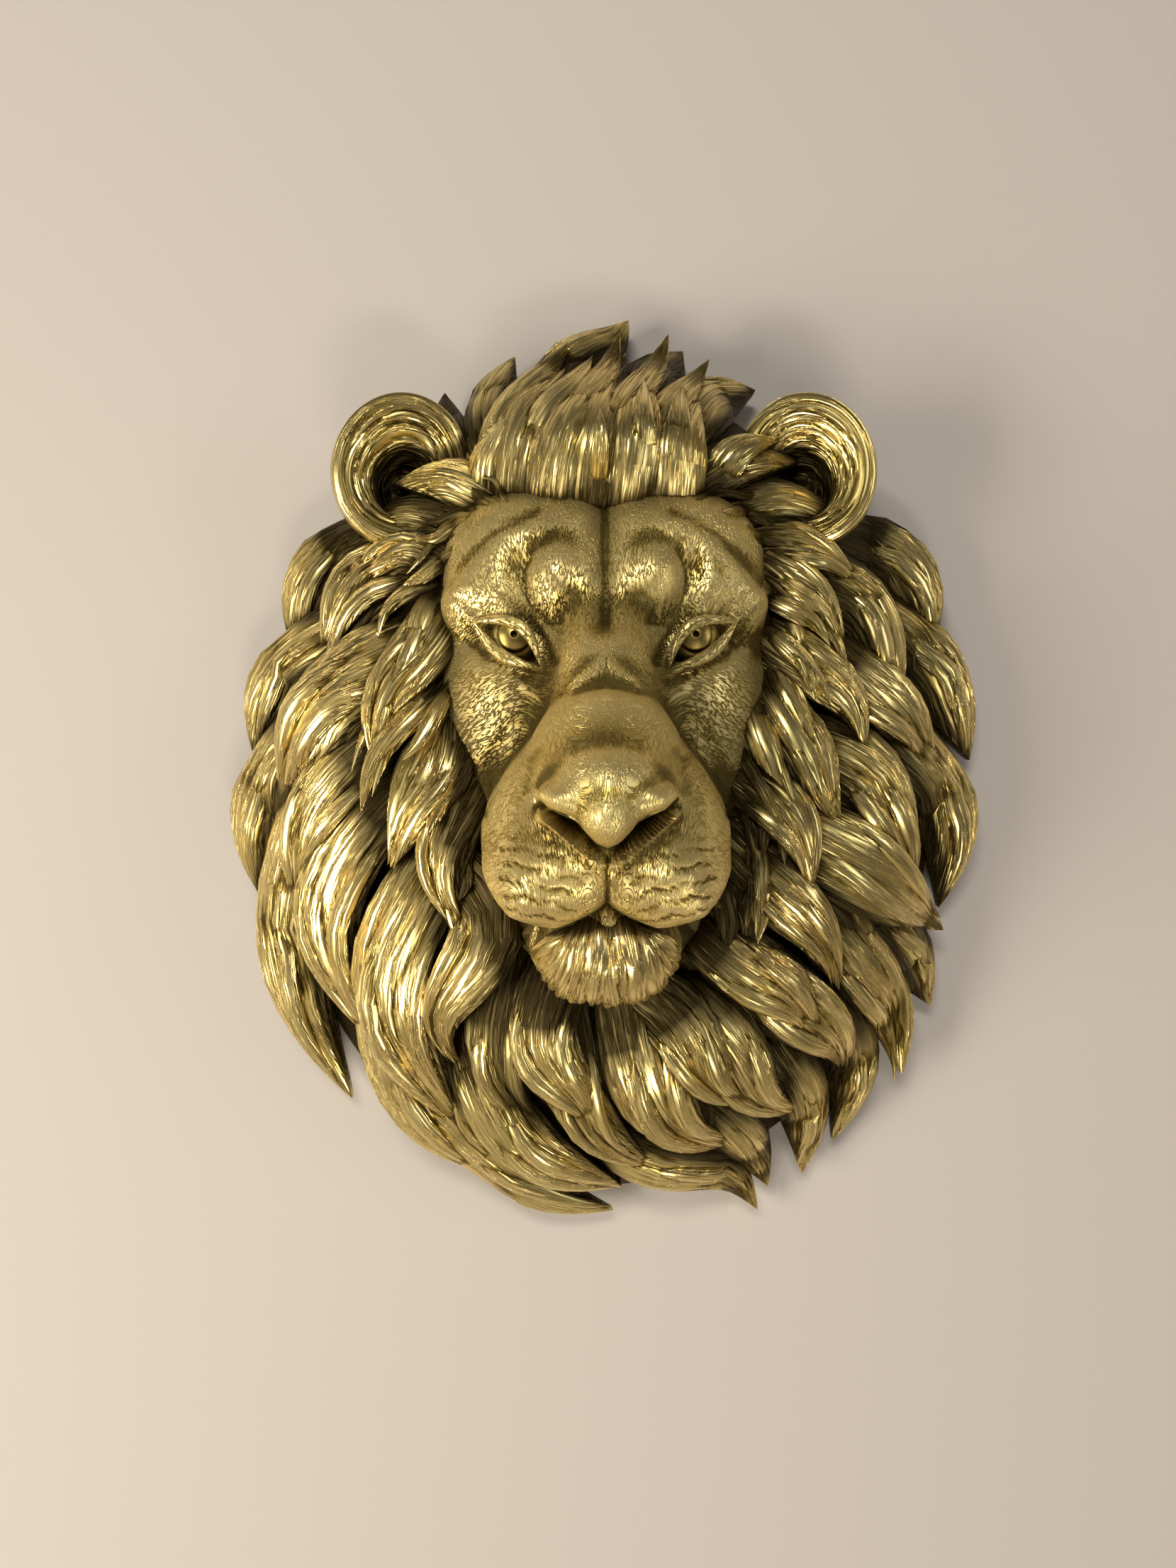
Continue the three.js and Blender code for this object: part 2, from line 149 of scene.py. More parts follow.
def bed_depth(x, z):
    """Rim plus a rise that falls off with the cube of the distance from the middle, a bell-shaped crown
    swelling, and a steep fall past the rim."""
    up = (z - BED_MIDDLE) / BED_HALF_HIGH
    out = np.hypot(x / (BED_HALF_WIDE * bed_width(up)), up)
    cushion = CUSHION_RIM + CUSHION_RISE * (1 - np.minimum(out, 1) ** 3)
    from_crown = (x / CROWN_HALF_WIDE) ** 2 + ((z - CROWN_Z) / CROWN_HALF_HIGH) ** 2
    fallen = CUSHION_FALL * np.maximum(0, out - 1)
    return np.maximum(CUSHION_LEAST, cushion + CROWN_RISE * np.exp(-from_crown) - fallen)


def bed_skin(around=120, rings=26):
    """Rings of the bed from its flat back, round the rim, to the top of the cushion: out is the cosine
    of a quarter turn, so that the rings crowd at the rim."""
    turn = np.linspace(0, 2 * np.pi, around, endpoint=False)
    out = np.cos(np.linspace(0, np.pi / 2, rings, endpoint=False))[:, None]
    up = out * np.sin(turn)
    x, z = out * BED_HALF_WIDE * bed_width(up) * np.cos(turn), BED_MIDDLE + up * BED_HALF_HIGH
    front = np.stack([x, -bed_depth(x, z), z], -1)
    back = front[:1] * [1, 0, 1]
    rings_all = np.concatenate([back, front])
    middle = np.array([0, 0, BED_MIDDLE])
    summit = middle - [0, bed_depth(0, BED_MIDDLE), 0]
    return closed_skin(rings_all, middle, summit, rings_all)


bed = bed_skin()
print("Bed:", len(bed["faces"]), "triangles")

# %% [markdown]
# ## The head
# A clay modeller presses rounded lumps together: skull, cheeks, brow, nose, lips, chin. Each lump is an
# ellipsoid here, and they run together through a soft minimum of their distances. Rays leave a point
# inside the head and each is walked in from far out until it meets the surface. Creases and ridges are
# lines in the front view that lower or raise the surface by a bell curve.

# %% Masses of the head
# Each mass: its middle (x, depth, z), its half sizes, and how softly it blends in. One off the middle is
# there on both sides.
HEAD_MASSES = {
    "face": ((0, 21, 28), (63, 56, 82), 8),
    "forehead": ((0, 40, 72), (34, 31, 26), 10),
    "frontal lobe": ((29, 40, 71), (29, 30, 28), 12),
    "cheek": ((30, 42, 20), (26, 26, 40), 16),
    "brow": ((36, 58, 56), (18, 10, 8), 14),
    "brow pad": ((16, 64, 63), (11, 13, 13), 5),
    "upper bridge": ((0, 60, 46), (15, 21, 32), 8),
    "lower bridge": ((0, 74, 24), (19, 28, 26), 10),
    "nose dome": ((0, 94, 3), (24, 30, 23), 8),
    "nose tip": ((0, 116, -6), (17, 25, 13), 10),
    "muzzle": ((0, 72, -18), (37, 42, 34), 12),
    "lip pad": ((17, 99, -35), (21, 29, 18), 9),
    "pad top": ((18, 86, -20), (20, 31, 18), 12),
    "upper lip": ((0, 106, -30), (13, 22, 15), 8),
    "nose leather": ((0, 127, -15), (10, 17, 11), 4),
    "nostril wing": ((13, 126, -11), (8, 13, 6), 5),
    "lower lip": ((0, 86, -47), (15, 22, 7), 7),
    "chin": ((0, 80, -58), (25, 27, 18), 3),
    "jaw": ((0, 42, -42), (40, 38, 34), 10),
}


def mass_distance(middle, half, x, depth, z):
    """Nearly the distance to an ellipsoid: s (s - 1) / slope, with s the scaled distance to its middle."""
    away = [x - middle[0], depth - middle[1], z - middle[2]]
    scaled = np.sqrt(sum((d / h) ** 2 for d, h in zip(away, half)))
    slope = np.sqrt(sum((d / h**2) ** 2 for d, h in zip(away, half)))
    return scaled * (scaled - 1) / np.maximum(slope, 1e-6)


def smooth_head_distance(x, depth, z):
    """The soft minimum of all the masses: where two are nearer than their blend, a little is taken off."""
    side = np.abs(x)
    nearest = np.full(np.shape(x), 1e6)
    for middle, half, blend in HEAD_MASSES.values():
        other = mass_distance(middle, half, side, depth, z)
        overlap = np.maximum(1 - np.abs(nearest - other) / blend, 0)
        nearest = np.minimum(nearest, other) - overlap**2 * blend / 4
    return nearest


print(len(HEAD_MASSES), "masses")

# %% Creases and ridges of the face
HEAD_CORE_DEPTH, HEAD_CORE_Z = 44.0, 2.0
# Each crease: points (x, z), half width and depth cut, on both sides. A ridge has a cut below 0.
CREASES = {
    "forehead furrow": (((0, 98), (0, 70), (0, 44)), 5, 3),
    "forehead line": (((0, 96), (0, 74), (0, 46)), 1.8, 0.9),
    "eye socket": (((41, 48), (32, 45), (23, 36)), 7, 4),
    "tear groove": (((21, 32), (19, 22), (24, 6)), 6, 0.8),
    "brow pad edge": (((29, 68), (28, 58), (19, 49)), 4, 1.5),
    "brow pad line": (((25, 73), (28, 65), (27, 57), (21, 50), (15, 48)), 1.4, 1.3),
    "second brow fold": (((29, 76), (32.5, 66), (31, 57), (25, 49), (20, 41)), 1.6, 0.7),
    "lid crease": (((17, 34), (19.5, 42), (25, 51), (33, 55), (42, 53), (50, 57)), 1.6, 1.3),
    "lid corner": (((43, 47.5), (48, 49), (52, 52)), 1.2, 0.8),
    "under lid": (((22, 27.5), (30, 31), (39, 36), (47, 44)), 2.4, 0.9),
    "philtrum": (((0, -25), (0, -42)), 3, 1.5),
    "philtrum line": (((0, -27), (0, -42)), 1.0, 0.9),
    "mouth": (((0, -45), (15, -52), (31, -49), (40, -38)), 3, 3),
    "mouth line": (((0, -43.5), (7, -48.5), (16, -52.5), (29, -50)), 1.4, 1.8),
    "nostril": (((19.2, -12.5), (15, -15.8), (10, -18.8), (6.4, -22), (4, -25)), 2.3, 3.4),
    "nostril rim": (((20, -12.5), (19.3, -16), (12.6, -21.4), (7.2, -25.8), (2, -29.5)), 1.3, -1.4),
    "nose dome edge": (((24, -8), (22.5, 8), (13, 20.5), (0, 24.5)), 2.4, 0.5),
    "bridge fold": (((2, 31), (9, 25), (17, 15), (23.5, 4)), 2.1, -0.6),
    "cheek line": (((27, 10), (34, -2), (38, -16)), 1.8, 0.8),
    "lobe ridge": (((52, 56), (49, 63), (38, 73), (22, 81)), 3.2, -0.6),
    "lobe line": (((53, 62), (48, 69), (38, 78), (24, 86)), 3.4, 0.5),
}
WHISKER_ROW, WHISKER_CUT, WHISKER_SLOPE, WHISKER_SAG = 4.6, 0.9, 0.16, 0.008
WHISKERS_START, WHISKERS_MIDDLE = 11, 22
# Where the rows fade in and out: at the lip pad's inner and outer side, its foot and its top.
PAD_INNER, PAD_OUTER, PAD_FOOT, PAD_TOP = (7, 13), (35, 28), (-50, -45), (-23, -29)


def whisker_rows(side, z):
    """Broken rows of creases over the lip pads: sharp valleys of |sin| across the rows, which rise
    outwards, waver, and come and go along their length."""
    sag = WHISKER_SAG * (side - WHISKERS_MIDDLE) ** 2
    level = (z - WHISKER_SLOPE * (side - WHISKERS_START) + sag) / WHISKER_ROW
    wavering = level + 0.12 * np.sin(0.7 * side + 2.1 * level) + 0.05 * np.sin(2.3 * side)
    valley = 1 - np.abs(np.sin(np.pi * wavering))
    broken = 0.68 + 0.32 * np.sin(0.36 * side + 3.6 * level)
    pad = smooth(*PAD_INNER, side) * smooth(*PAD_OUTER, side) * smooth(*PAD_FOOT, z) * smooth(*PAD_TOP, z)
    return WHISKER_CUT * valley**1.8 * broken * pad


def line_distance(points, x, z):
    """Distance in the front view from (x, z) to a line through the points."""
    nearest = np.full(np.shape(x), 1e6)
    for (ax, az), (bx, bz) in zip(points[:-1], points[1:]):
        span = (bx - ax) ** 2 + (bz - az) ** 2
        along = np.clip(((x - ax) * (bx - ax) + (z - az) * (bz - az)) / span, 0, 1)
        nearest = np.minimum(nearest, np.hypot(x - mix(ax, bx, along), z - mix(az, bz, along)))
    return nearest


def creases(x, depth, z):
    """How much the creases lower the surface at a place: a bell curve across each, on the head's front."""
    side = np.abs(x)
    total = np.zeros(np.shape(x))
    for points, wide, cut in CREASES.values():
        total += cut * np.exp(-((line_distance(points, side, z) / wide) ** 2))
    total += whisker_rows(side, z)
    return np.where(depth > HEAD_CORE_DEPTH, total, 0)


print(len(CREASES), "creases and ridges")

# %% Walk the rays in to the head
RAY_PITCH_SHARE, RAY_PITCH, RAY_CROWDING = 0.9, 1.75, 0.45
LOW_CORE_DEPTH, LOW_CORE_Z, LOOKING_DOWN = 92.0, -8.0, (0.9, -0.5)
OPENING_OUT, OPENING_IN, OPENING_RISE, OPENING_FALL = 14.0, 9.2, 4.6, 11.8
OPENING_UPPER, OPENING_LOWER, OPENING_CUT, OPENING_SOFT = 7.6, 3.6, 7.0, 1.2
EYE_X, EYE_Z, EYE_DEPTH, EYE_RADIUS = 30.5, 44.0, 61.5, 9.0


def eye_opening(x, z):
    """1 inside the almond between the lids, 0 outside: two sine bows over the line from corner to corner."""
    out_x, out_z = EYE_X + OPENING_OUT, EYE_Z + OPENING_RISE
    along_x, along_z = -(OPENING_OUT + OPENING_IN), -(OPENING_RISE + OPENING_FALL)
    span = np.hypot(along_x, along_z)
    away_x, away_z = np.abs(x) - out_x, z - out_z
    share = np.clip((away_x * along_x + away_z * along_z) / span**2, 0, 1)
    over = (away_x * along_z - away_z * along_x) / span
    bow = np.sin(np.pi * share)
    inside = np.minimum(OPENING_UPPER * bow - over, over + OPENING_LOWER * bow)
    return smooth(0, OPENING_SOFT, inside)


def head_distance(x, depth, z):
    """The soft masses with the creases and the eye openings cut in."""
    cut = creases(x, depth, z) + OPENING_CUT * eye_opening(x, z) * (depth > HEAD_CORE_DEPTH)
    return smooth_head_distance(x, depth, z) + cut


def walk_in(start, direction, first=200.0, far_steps=40, near_steps=10, stride=0.7):
    """How far from start the surface is along each direction: step in by the stride times the distance,
    first over the smooth masses, then over the creased surface."""
    reach = np.full(direction.shape[:-1], first)
    for step in range(far_steps + near_steps):
        x, depth, z = (start[k] + direction[..., k] * reach for k in range(3))
        measure = smooth_head_distance if step < far_steps else head_distance
        reach = reach - stride * measure(x, depth, z)
    return reach


def head_depth(x, z):
    """Depth of the head's front at (x, z), walking in along the view."""
    x, z = np.broadcast_arrays(np.asarray(x, float), np.asarray(z, float))
    straight = np.stack([np.zeros(x.shape), np.ones(x.shape), np.zeros(x.shape)], -1)
    return np.maximum(walk_in((x, 0, z), straight, near_steps=0), 0)


FUR_MIDDLE, FUR_TURN = 45.0, np.radians(50)
FUR_TURNS_BELOW, FUR_TURNS_OUTSIDE = (72, 20), (4, 30)


def fur_hair(x, depth, z):
    """Places across and along the fur. It runs upright over the forehead and turns outwards and down over
    the cheeks and the muzzle."""
    side = np.abs(x)
    turn = FUR_TURN * smooth(*FUR_TURNS_BELOW, z) * smooth(*FUR_TURNS_OUTSIDE, side)
    across = side * np.cos(turn) + (z - FUR_MIDDLE) * np.sin(turn)
    along = (z - FUR_MIDDLE) * np.cos(turn) - side * np.sin(turn)
    return np.stack([across + 0.6 * np.sin(0.35 * along), along, 0.4 * depth], -1)


def head_skin(around, along):
    """The head over a net of rays whose poles are at the cheeks. The rays are evenly pitched over the
    front, few go back, and they crowd towards the middle. Those that look down leave a core further out,
    so that they reach under the nose and the lips."""
    turn = 2 * np.arange(around) / around - 1
    past = (np.abs(turn) - RAY_PITCH_SHARE) / (1 - RAY_PITCH_SHARE)
    front, back = turn / RAY_PITCH_SHARE * RAY_PITCH, np.sign(turn) * mix(RAY_PITCH, np.pi, past)
    pitch = np.where(past <= 0, front, back)
    across = np.linspace(-1, 1, along + 1)[:, None]
    yaw = np.pi / 2 * mix(across, across**3, RAY_CROWDING)
    aside, out = np.sin(yaw) * np.ones(around), np.cos(yaw)
    direction = np.stack([aside, out * np.cos(pitch), out * np.sin(pitch)], -1)
    low = smooth(*LOOKING_DOWN, pitch) * np.sqrt(out + 1e-9)
    core = [0 * low, mix(HEAD_CORE_DEPTH, LOW_CORE_DEPTH, low), mix(HEAD_CORE_Z, LOW_CORE_Z, low)]
    found = np.stack(core, -1) + direction * walk_in(core, direction)[..., None]
    x, depth, z = found[..., 0], np.maximum(found[..., 1], 3), found[..., 2]
    points = np.stack([x, -depth, z], -1)
    hair = fur_hair(x, depth, z)
    return closed_skin(points[1:-1], points[0].mean(0), points[-1].mean(0), hair[1:-1], FUR)


head = head_skin(around=192, along=144)
print("Head:", len(head["faces"]), "triangles")

# %% [markdown]
# ## Locks of hair
# A lock is a ribbon of clay laid on the bed. Its middle line runs from root to tip, bowed to one side or
# swung into an S. Its section is round on top, with straight sides down into what it lies on, and the
# modeller's comb has left grooves along it. Finer strands lie on most locks and part from them at the
# tip. A curve object with a bevel could give such a lock, but not its comb lines.

# %% How a lock runs
LOCK_LEAN, LOCK_SUNK, LOCK_FOOT = 0.7, 2.0, 0.92
ROOT_REACH, ROOT_SINK = 0.4, 13.0
LOCK_FULLEST, LOCK_ROOT_POWER, LOCK_TIP_POWER = 0.5, 0.6, 0.95


def swung(row, t):
    """x and z along a lock's middle line: straight from root to tip, moved aside by half a sine for its
    bow and a whole sine for its swing."""
    root_x, root_z, tip_x, tip_z, bow, swing, *_ = row
    span = np.hypot(tip_x - root_x, tip_z - root_z)
    aside = (bow * np.sin(np.pi * t) + swing * np.sin(2 * np.pi * t)) / span
    return mix(root_x, tip_x, t) + (root_z - tip_z) * aside, mix(root_z, tip_z, t) + (tip_x - root_x) * aside


def fullness(t, tip=LOCK_TIP_POWER):
    """A lock's width as a share of its greatest, like a leaf: a quarter sine out from its hidden root to
    its fullest place, and a quarter cosine in to its tip. A lower tip power makes a blunter tip."""
    t = np.clip(t, 0, 1)
    out = np.sin(np.pi / 2 * np.minimum(t / LOCK_FULLEST, 1)) ** LOCK_ROOT_POWER
    home = np.cos(np.pi / 2 * np.maximum(t - LOCK_FULLEST, 0) / (1 - LOCK_FULLEST)) ** tip
    return out * np.maximum(home, 0)


def bed_lean(x, z, step=2.0):
    """Which way a lock's section leans: a share of the bed's slope at (x, z)."""
    slope_x = (bed_depth(x + step, z) - bed_depth(x - step, z)) / (2 * step)
    slope_z = (bed_depth(x, z + step) - bed_depth(x, z - step)) / (2 * step)
    return unit(np.stack([-slope_x * LOCK_LEAN, -np.ones_like(slope_x), -slope_z * LOCK_LEAN], -1))


def frame_along(centre, t, step=0.02):
    """The middle line's points, and across and up at each: up is the lean, made square to the line."""
    here = centre(t)
    ahead = unit(centre(t + step) - centre(t - step))
    up = bed_lean(here[..., 0], here[..., 2])
    up = unit(up - np.sum(up * ahead, -1, keepdims=True) * ahead)
    return here, np.cross(ahead, up), up


shares = fullness(np.linspace(0, 1, 5))
print("A lock's width from root to tip, as shares:", np.round(shares, 2).tolist())

# %% The skin of one lock
random = np.random.default_rng(11)
WANDER, RIPPLE = 0.75, 0.3
BUNDLES, STRAND_CUT, BUNDLE_CUT, COMB_FADE = 0.3, 0.45, 0.55, (0.05, 0.5)
TWIST, TWIST_WIDTHS, TWIST_TURNS = 0.32, (8, 20), 5.5


def combed(place, t, strands):
    """How deep the comb went, 0 to 1: sharp valleys, 1 - |sin|, between bundles and between the strands in
    them. Both sets wander and ripple across the lock as they run along it, as slow sines."""
    drift = random.uniform(0, 7, 4)
    wander = WANDER * np.sin(4.5 * t + drift[0]) + RIPPLE * np.sin(9 * place + 3 * t + drift[1])
    fine = 1 - np.abs(np.sin(np.pi * (strands * place + wander + drift[2])))
    bundles = 1 - np.abs(np.sin(np.pi * (BUNDLES * strands * place + 0.5 * wander + drift[3])))
    return STRAND_CUT * fine**1.4 + BUNDLE_CUT * bundles**2


def lock_skin(centre, width, thick, *, top, along, strands, comb, ground=None, below=4, tip=LOCK_TIP_POWER):
    """Rings along the middle line: half the width times the cosine across, and times thick and the sine
    up, combed where the lock isn't thin, with the top rolling from side to side. With a ground the sides
    run straight down into it, and otherwise the section is closed round."""
    t = (1 - np.cos(np.pi * np.arange(1, along) / along))[:, None] / 2
    here, sideways, up = frame_along(centre, t[:, 0])
    half = width / 2 * fullness(t, tip)
    angle = np.linspace(0, np.pi, top + 1)
    place = angle / np.pi
    carved = 1 - comb * smooth(*COMB_FADE, half / half.max()) * combed(place, t, strands)
    roll = TWIST * smooth(*TWIST_WIDTHS, width) * np.sin(TWIST_TURNS * t + random.uniform(0, 7))
    twisted = 1 + roll * np.cos(angle)
    across, above = half * carved * np.cos(angle), half * thick * carved * twisted * np.sin(angle)
    if ground is None:
        under = np.pi + np.linspace(0, np.pi, below + 2)[1:-1]
        across = np.hstack([across, half * np.cos(under)])
        above = np.hstack([above, half * thick * np.sin(under)])
    else:
        across = np.hstack([across, -LOCK_FOOT * half, LOCK_FOOT * half])
        above = np.hstack([above, 0 * half, 0 * half])
    rings = here[:, None] + across[..., None] * sideways[:, None] + above[..., None] * up[:, None]
    if ground is not None:
        low = rings[:, -2:]
        low[..., 1] = np.maximum(low[..., 1], LOCK_SUNK - ground(low[..., 0], low[..., 2]))
    length = np.linalg.norm(np.diff(here, axis=0), axis=-1).sum()
    number = random.uniform(0, 100)
    hair = np.stack(np.broadcast_arrays(across, t * length, number), -1)
    return closed_skin(rings, centre(0.0), centre(1.0), hair)

# %% A lock with its strands
# Tiers of the mane: heights over the bed at a lock's root, middle and tip, its thickness as a share of its
# width, how deep the comb went into it, and how many strands part from it.
TIERS = {
    "rim": (2, 5, 2, 0.6, 0.17, 1),
    "between": (0, 5, 4, 0.55, 0.24, 2),
    "middle": (2, 9, 9, 0.55, 0.26, 2),
    "inner": (2, 11, 13, 0.55, 0.26, 2),
    "crest back": (4, 8, 3, 0.6, 0.16, 0),
    "crest front": (-2, 10, 20, 0.6, 0.15, 0),
    "crest top": (-4, 16, 24, 0.5, 0.15, 0),
}
LEAST_LINE = 9.0


def mane_line(row, tier):
    """A lock's middle line over the bed: its lift runs from the root's to the tip's, with a bulge. It
    begins before the root, and sinks there under the locks further in."""
    root, middle, tip, *_ = TIERS[tier]

    def centre(t):
        t = mix(-ROOT_REACH, 1, np.asarray(t, float))
        x, z = swung(row, t)
        lift = mix(root, tip, t) + (middle - (root + tip) / 2) * np.sin(np.pi * np.clip(t, 0, 1))
        lift = lift - ROOT_SINK * np.clip(-t / ROOT_REACH, 0, 1)
        depth = np.maximum(bed_depth(x, z) + lift, LEAST_LINE)
        return np.stack([x, -depth, z], -1)

    return centre


STRAND_WIDE, STRAND_THICK, STRAND_SUNK, STRAND_FREE = 3.1, 0.75, 0.14, 0.02
WAVE, OUTERMOST, PLACE_JITTER = 0.16, 0.8, 0.15
# How strands differ, as shares of their lock's length or width.
STRAND_STARTS, STRAND_ENDS, STRAND_SPREADS, STRAND_WIDTHS = (0.2, 0.45), (0.94, 1.02), (0, 0.2), (0.2, 0.32)


def strand_line(centre, width, thick, offset, start, end, spread):
    """A strand's middle line on its lock: offset across it as a share of its half width. It comes out of
    the lock as it runs on, and spreads aside towards the tip."""

    def line(t):
        whole = start + (end - start) * np.asarray(t, float)
        here, sideways, up = frame_along(centre, whole)
        half = width / 2 * np.maximum(fullness(whole), 0.1)
        wave = WAVE * np.sin(2 * np.pi * whole + 9 * offset)
        reach = half * (offset + wave) + width * spread * np.clip(t, 0, 2) ** 3
        rise = thick * np.sqrt(np.maximum(half**2 - (half * offset) ** 2, 0))
        rise = rise - width * mix(STRAND_SUNK, STRAND_FREE, smooth(0, 0.6, t))
        return here + sideways * reach[..., None] + up * rise[..., None]

    return line


def lock_with_strands(centre, width, thick, comb, count):
    """The lock's own skin, and strands spread evenly across it with seeded differences."""
    strands = max(3, round(width / STRAND_WIDE))
    skins = [lock_skin(centre, width, thick, top=36, along=21, strands=strands, comb=comb, ground=bed_depth)]
    for k in range(count):
        offset = mix(-OUTERMOST, OUTERMOST, (k + 0.5) / count) + random.uniform(-PLACE_JITTER, PLACE_JITTER)
        start, end = random.uniform(*STRAND_STARTS), random.uniform(*STRAND_ENDS)
        spread = offset * random.uniform(*STRAND_SPREADS)
        line = strand_line(centre, width, thick, offset, start, end, spread)
        wide = width * random.uniform(*STRAND_WIDTHS)
        skins.append(lock_skin(line, wide, STRAND_THICK, top=8, along=16, strands=2, comb=0.15, below=2))
    return skins

# %% [markdown]
# ## The mane
# The locks lie in tiers like roof tiles, the outer ones under the inner ones. Each was placed from
# the photograph, and the middle of the mane swings by a few millimetres at random.

# %% The mane's locks
SEEDED_SWING, SWUNG_TIERS = 3.0, ("middle", "inner", "between")
# Each lock: x and z of its root, x and z of its tip, its bow, its width, and its swing if it has one.
LOCKS = {
    "rim": [
        (86, 86, 126, 42, 12, 34), (100, 56, 142, 3, 7, 34), (108, 12, 130, -54, 12, 32),
        (98, -52, 127, -92, 3, 28), (82, -82, 89, -144, 9, 26), (64, -104, 77, -157, 6, 24),
        (34, -120, 64, -162, 4, 24), (6, -140, 60, -171, 6, 26, -3), (-66, -122, 4, -171, -7, 28, 2),
        (-80, -88, -30, -158, -12, 32), (-106, -16, -97, -128, -16, 34), (-112, 12, -132, -50, -9, 30),
        (-96, 50, -134, 2, -9, 34), (-86, 86, -117, 41, -10, 32),
    ],
    "between": [
        (-36, -72, -22, -134, -10, 24), (-52, -104, -18, -154, -8, 22), (18, -104, 36, -152, 4, 22),
        (-94, 22, -120, -32, -7, 24), (94, 22, 130, -24, 6, 24), (-62, -86, -68, -132, -8, 22),
        (62, -36, 100, -88, 6, 24), (-20, -72, 0, -134, -8, 20), (-70, 92, -100, 64, -5, 20),
    ],
    "middle": [
        (74, 70, 110, 26, 8, 30), (80, 40, 124, -4, 4, 28), (72, 8, 117, -44, 7, 32),
        (64, -22, 130, -62, 2, 37, 2), (76, -52, 114, -117, 7, 30), (48, -68, 92, -115, 4, 30),
        (30, -84, 74, -129, -4, 29), (10, -86, 48, -141, -10, 33), (-14, -90, 20, -149, -10, 26),
        (-44, -112, 7, -158, -8, 28), (-62, -42, -53, -133, -16, 35), (-78, -14, -85, -101, -18, 30),
        (-80, 8, -113, -55, -8, 30), (-72, 38, -122, -13, -6, 40), (-66, 76, -104, 37, -6, 30),
    ],
    "inner": [
        (54, 74, 84, 44, 4, 21), (57, 46, 92, 6, 6, 24), (52, 22, 82, -22, 5, 22),
        (46, -2, 72, -42, 6, 22), (44, -28, 84, -80, 5, 24), (36, -58, 76, -100, 5, 26),
        (14, -78, 54, -122, -2, 27), (-18, -76, -4, -126, -7, 27), (-56, -34, -53, -105, 8, 27, 6),
        (-44, -2, -48, -58, -9, 23), (-52, 16, -74, -35, 4, 22), (-55, 58, -80, 0, -4, 24),
        (54, 80, 94, 67, 4, 21), (-56, 74, -95, 68, -5, 20),
    ],
    "crest back": [
        (-50, 112, -61, 145, 3, 18), (-40, 118, -34, 159, 4, 22), (-20, 130, 10, 173, 3, 29, 2),
        (12, 126, 31, 161, 2, 28), (28, 120, 59, 146, 5, 26),
    ],
    "crest front": [
        (30, 98, 72, 112, 4, 20), (42, 91, 88, 90, 5, 21), (-36, 94, -76, 103, -4, 20),
        (-52, 86, -90, 85, -5, 21), (-42, 92, -32, 124, 3, 17), (-32, 92, -14, 146, 4, 25),
        (-20, 90, 0, 144, 3, 23), (-7, 90, 8, 153, 2, 21), (8, 90, 15, 142, 0, 22),
        (24, 90, 34, 130, 3, 23),
    ],
    "crest top": [
        (-37, 98, -13, 156, 7, 19, 2), (-24, 97, -4, 150, 5, 16, 2), (-10, 97, 6, 160, 4, 17, 2),
        (4, 98, 24, 160, 4, 17, 2), (17, 98, 39, 150, 5, 16, 1), (14, 95, 14, 137, 1, 10),
        (27, 95, 28, 136, 2, 11), (36, 96, 64, 118, 5, 14), (-3, 92, -2, 120, -1, 6),
    ],
}
mane = []
for tier, rows in LOCKS.items():
    for *line, bow, width, swing in ((*row, 0)[:7] for row in rows):
        if tier in SWUNG_TIERS:
            swing += random.uniform(-SEEDED_SWING, SEEDED_SWING)
        centre = mane_line((*line, bow, swing, width), tier)
        mane += lock_with_strands(centre, width, *TIERS[tier][3:])
print("Mane:", len(mane), "skins,", sum(len(skin["faces"]) for skin in mane), "triangles")

# %% [markdown]
# ## Ears
# An ear is a cup: a profile from the back, over the rim and into the hollow, carried round an ellipse and
# turned outwards. A lathe could do it if the hollow weren't off its middle.

# %% Ears
EAR_X, EAR_Z, EAR_DEPTH, EAR_HALF_WIDE, EAR_HALF_HIGH = 74.0, 107.0, 36.0, 25.0, 28.0
EAR_TURN, EAR_LEAN = np.radians(14), np.radians(-14)
# From the back of the cup over its rim into the hollow: shares of the half sizes, and depths.
EAR_REACH = (0, 0.55, 0.9, 1, 0.98, 0.88, 0.74, 0.6, 0.49, 0.41, 0.3, 0)
EAR_OUT = (-16, -14, -5, 3, 7.5, 9, 8.8, 7.6, 5, -3, -9, -10.5)
HOLLOW_ASIDE, HOLLOW_DOWN = 5.0, 7.0
EAR_TURNS, EAR_GROOVE = 9, 1.1


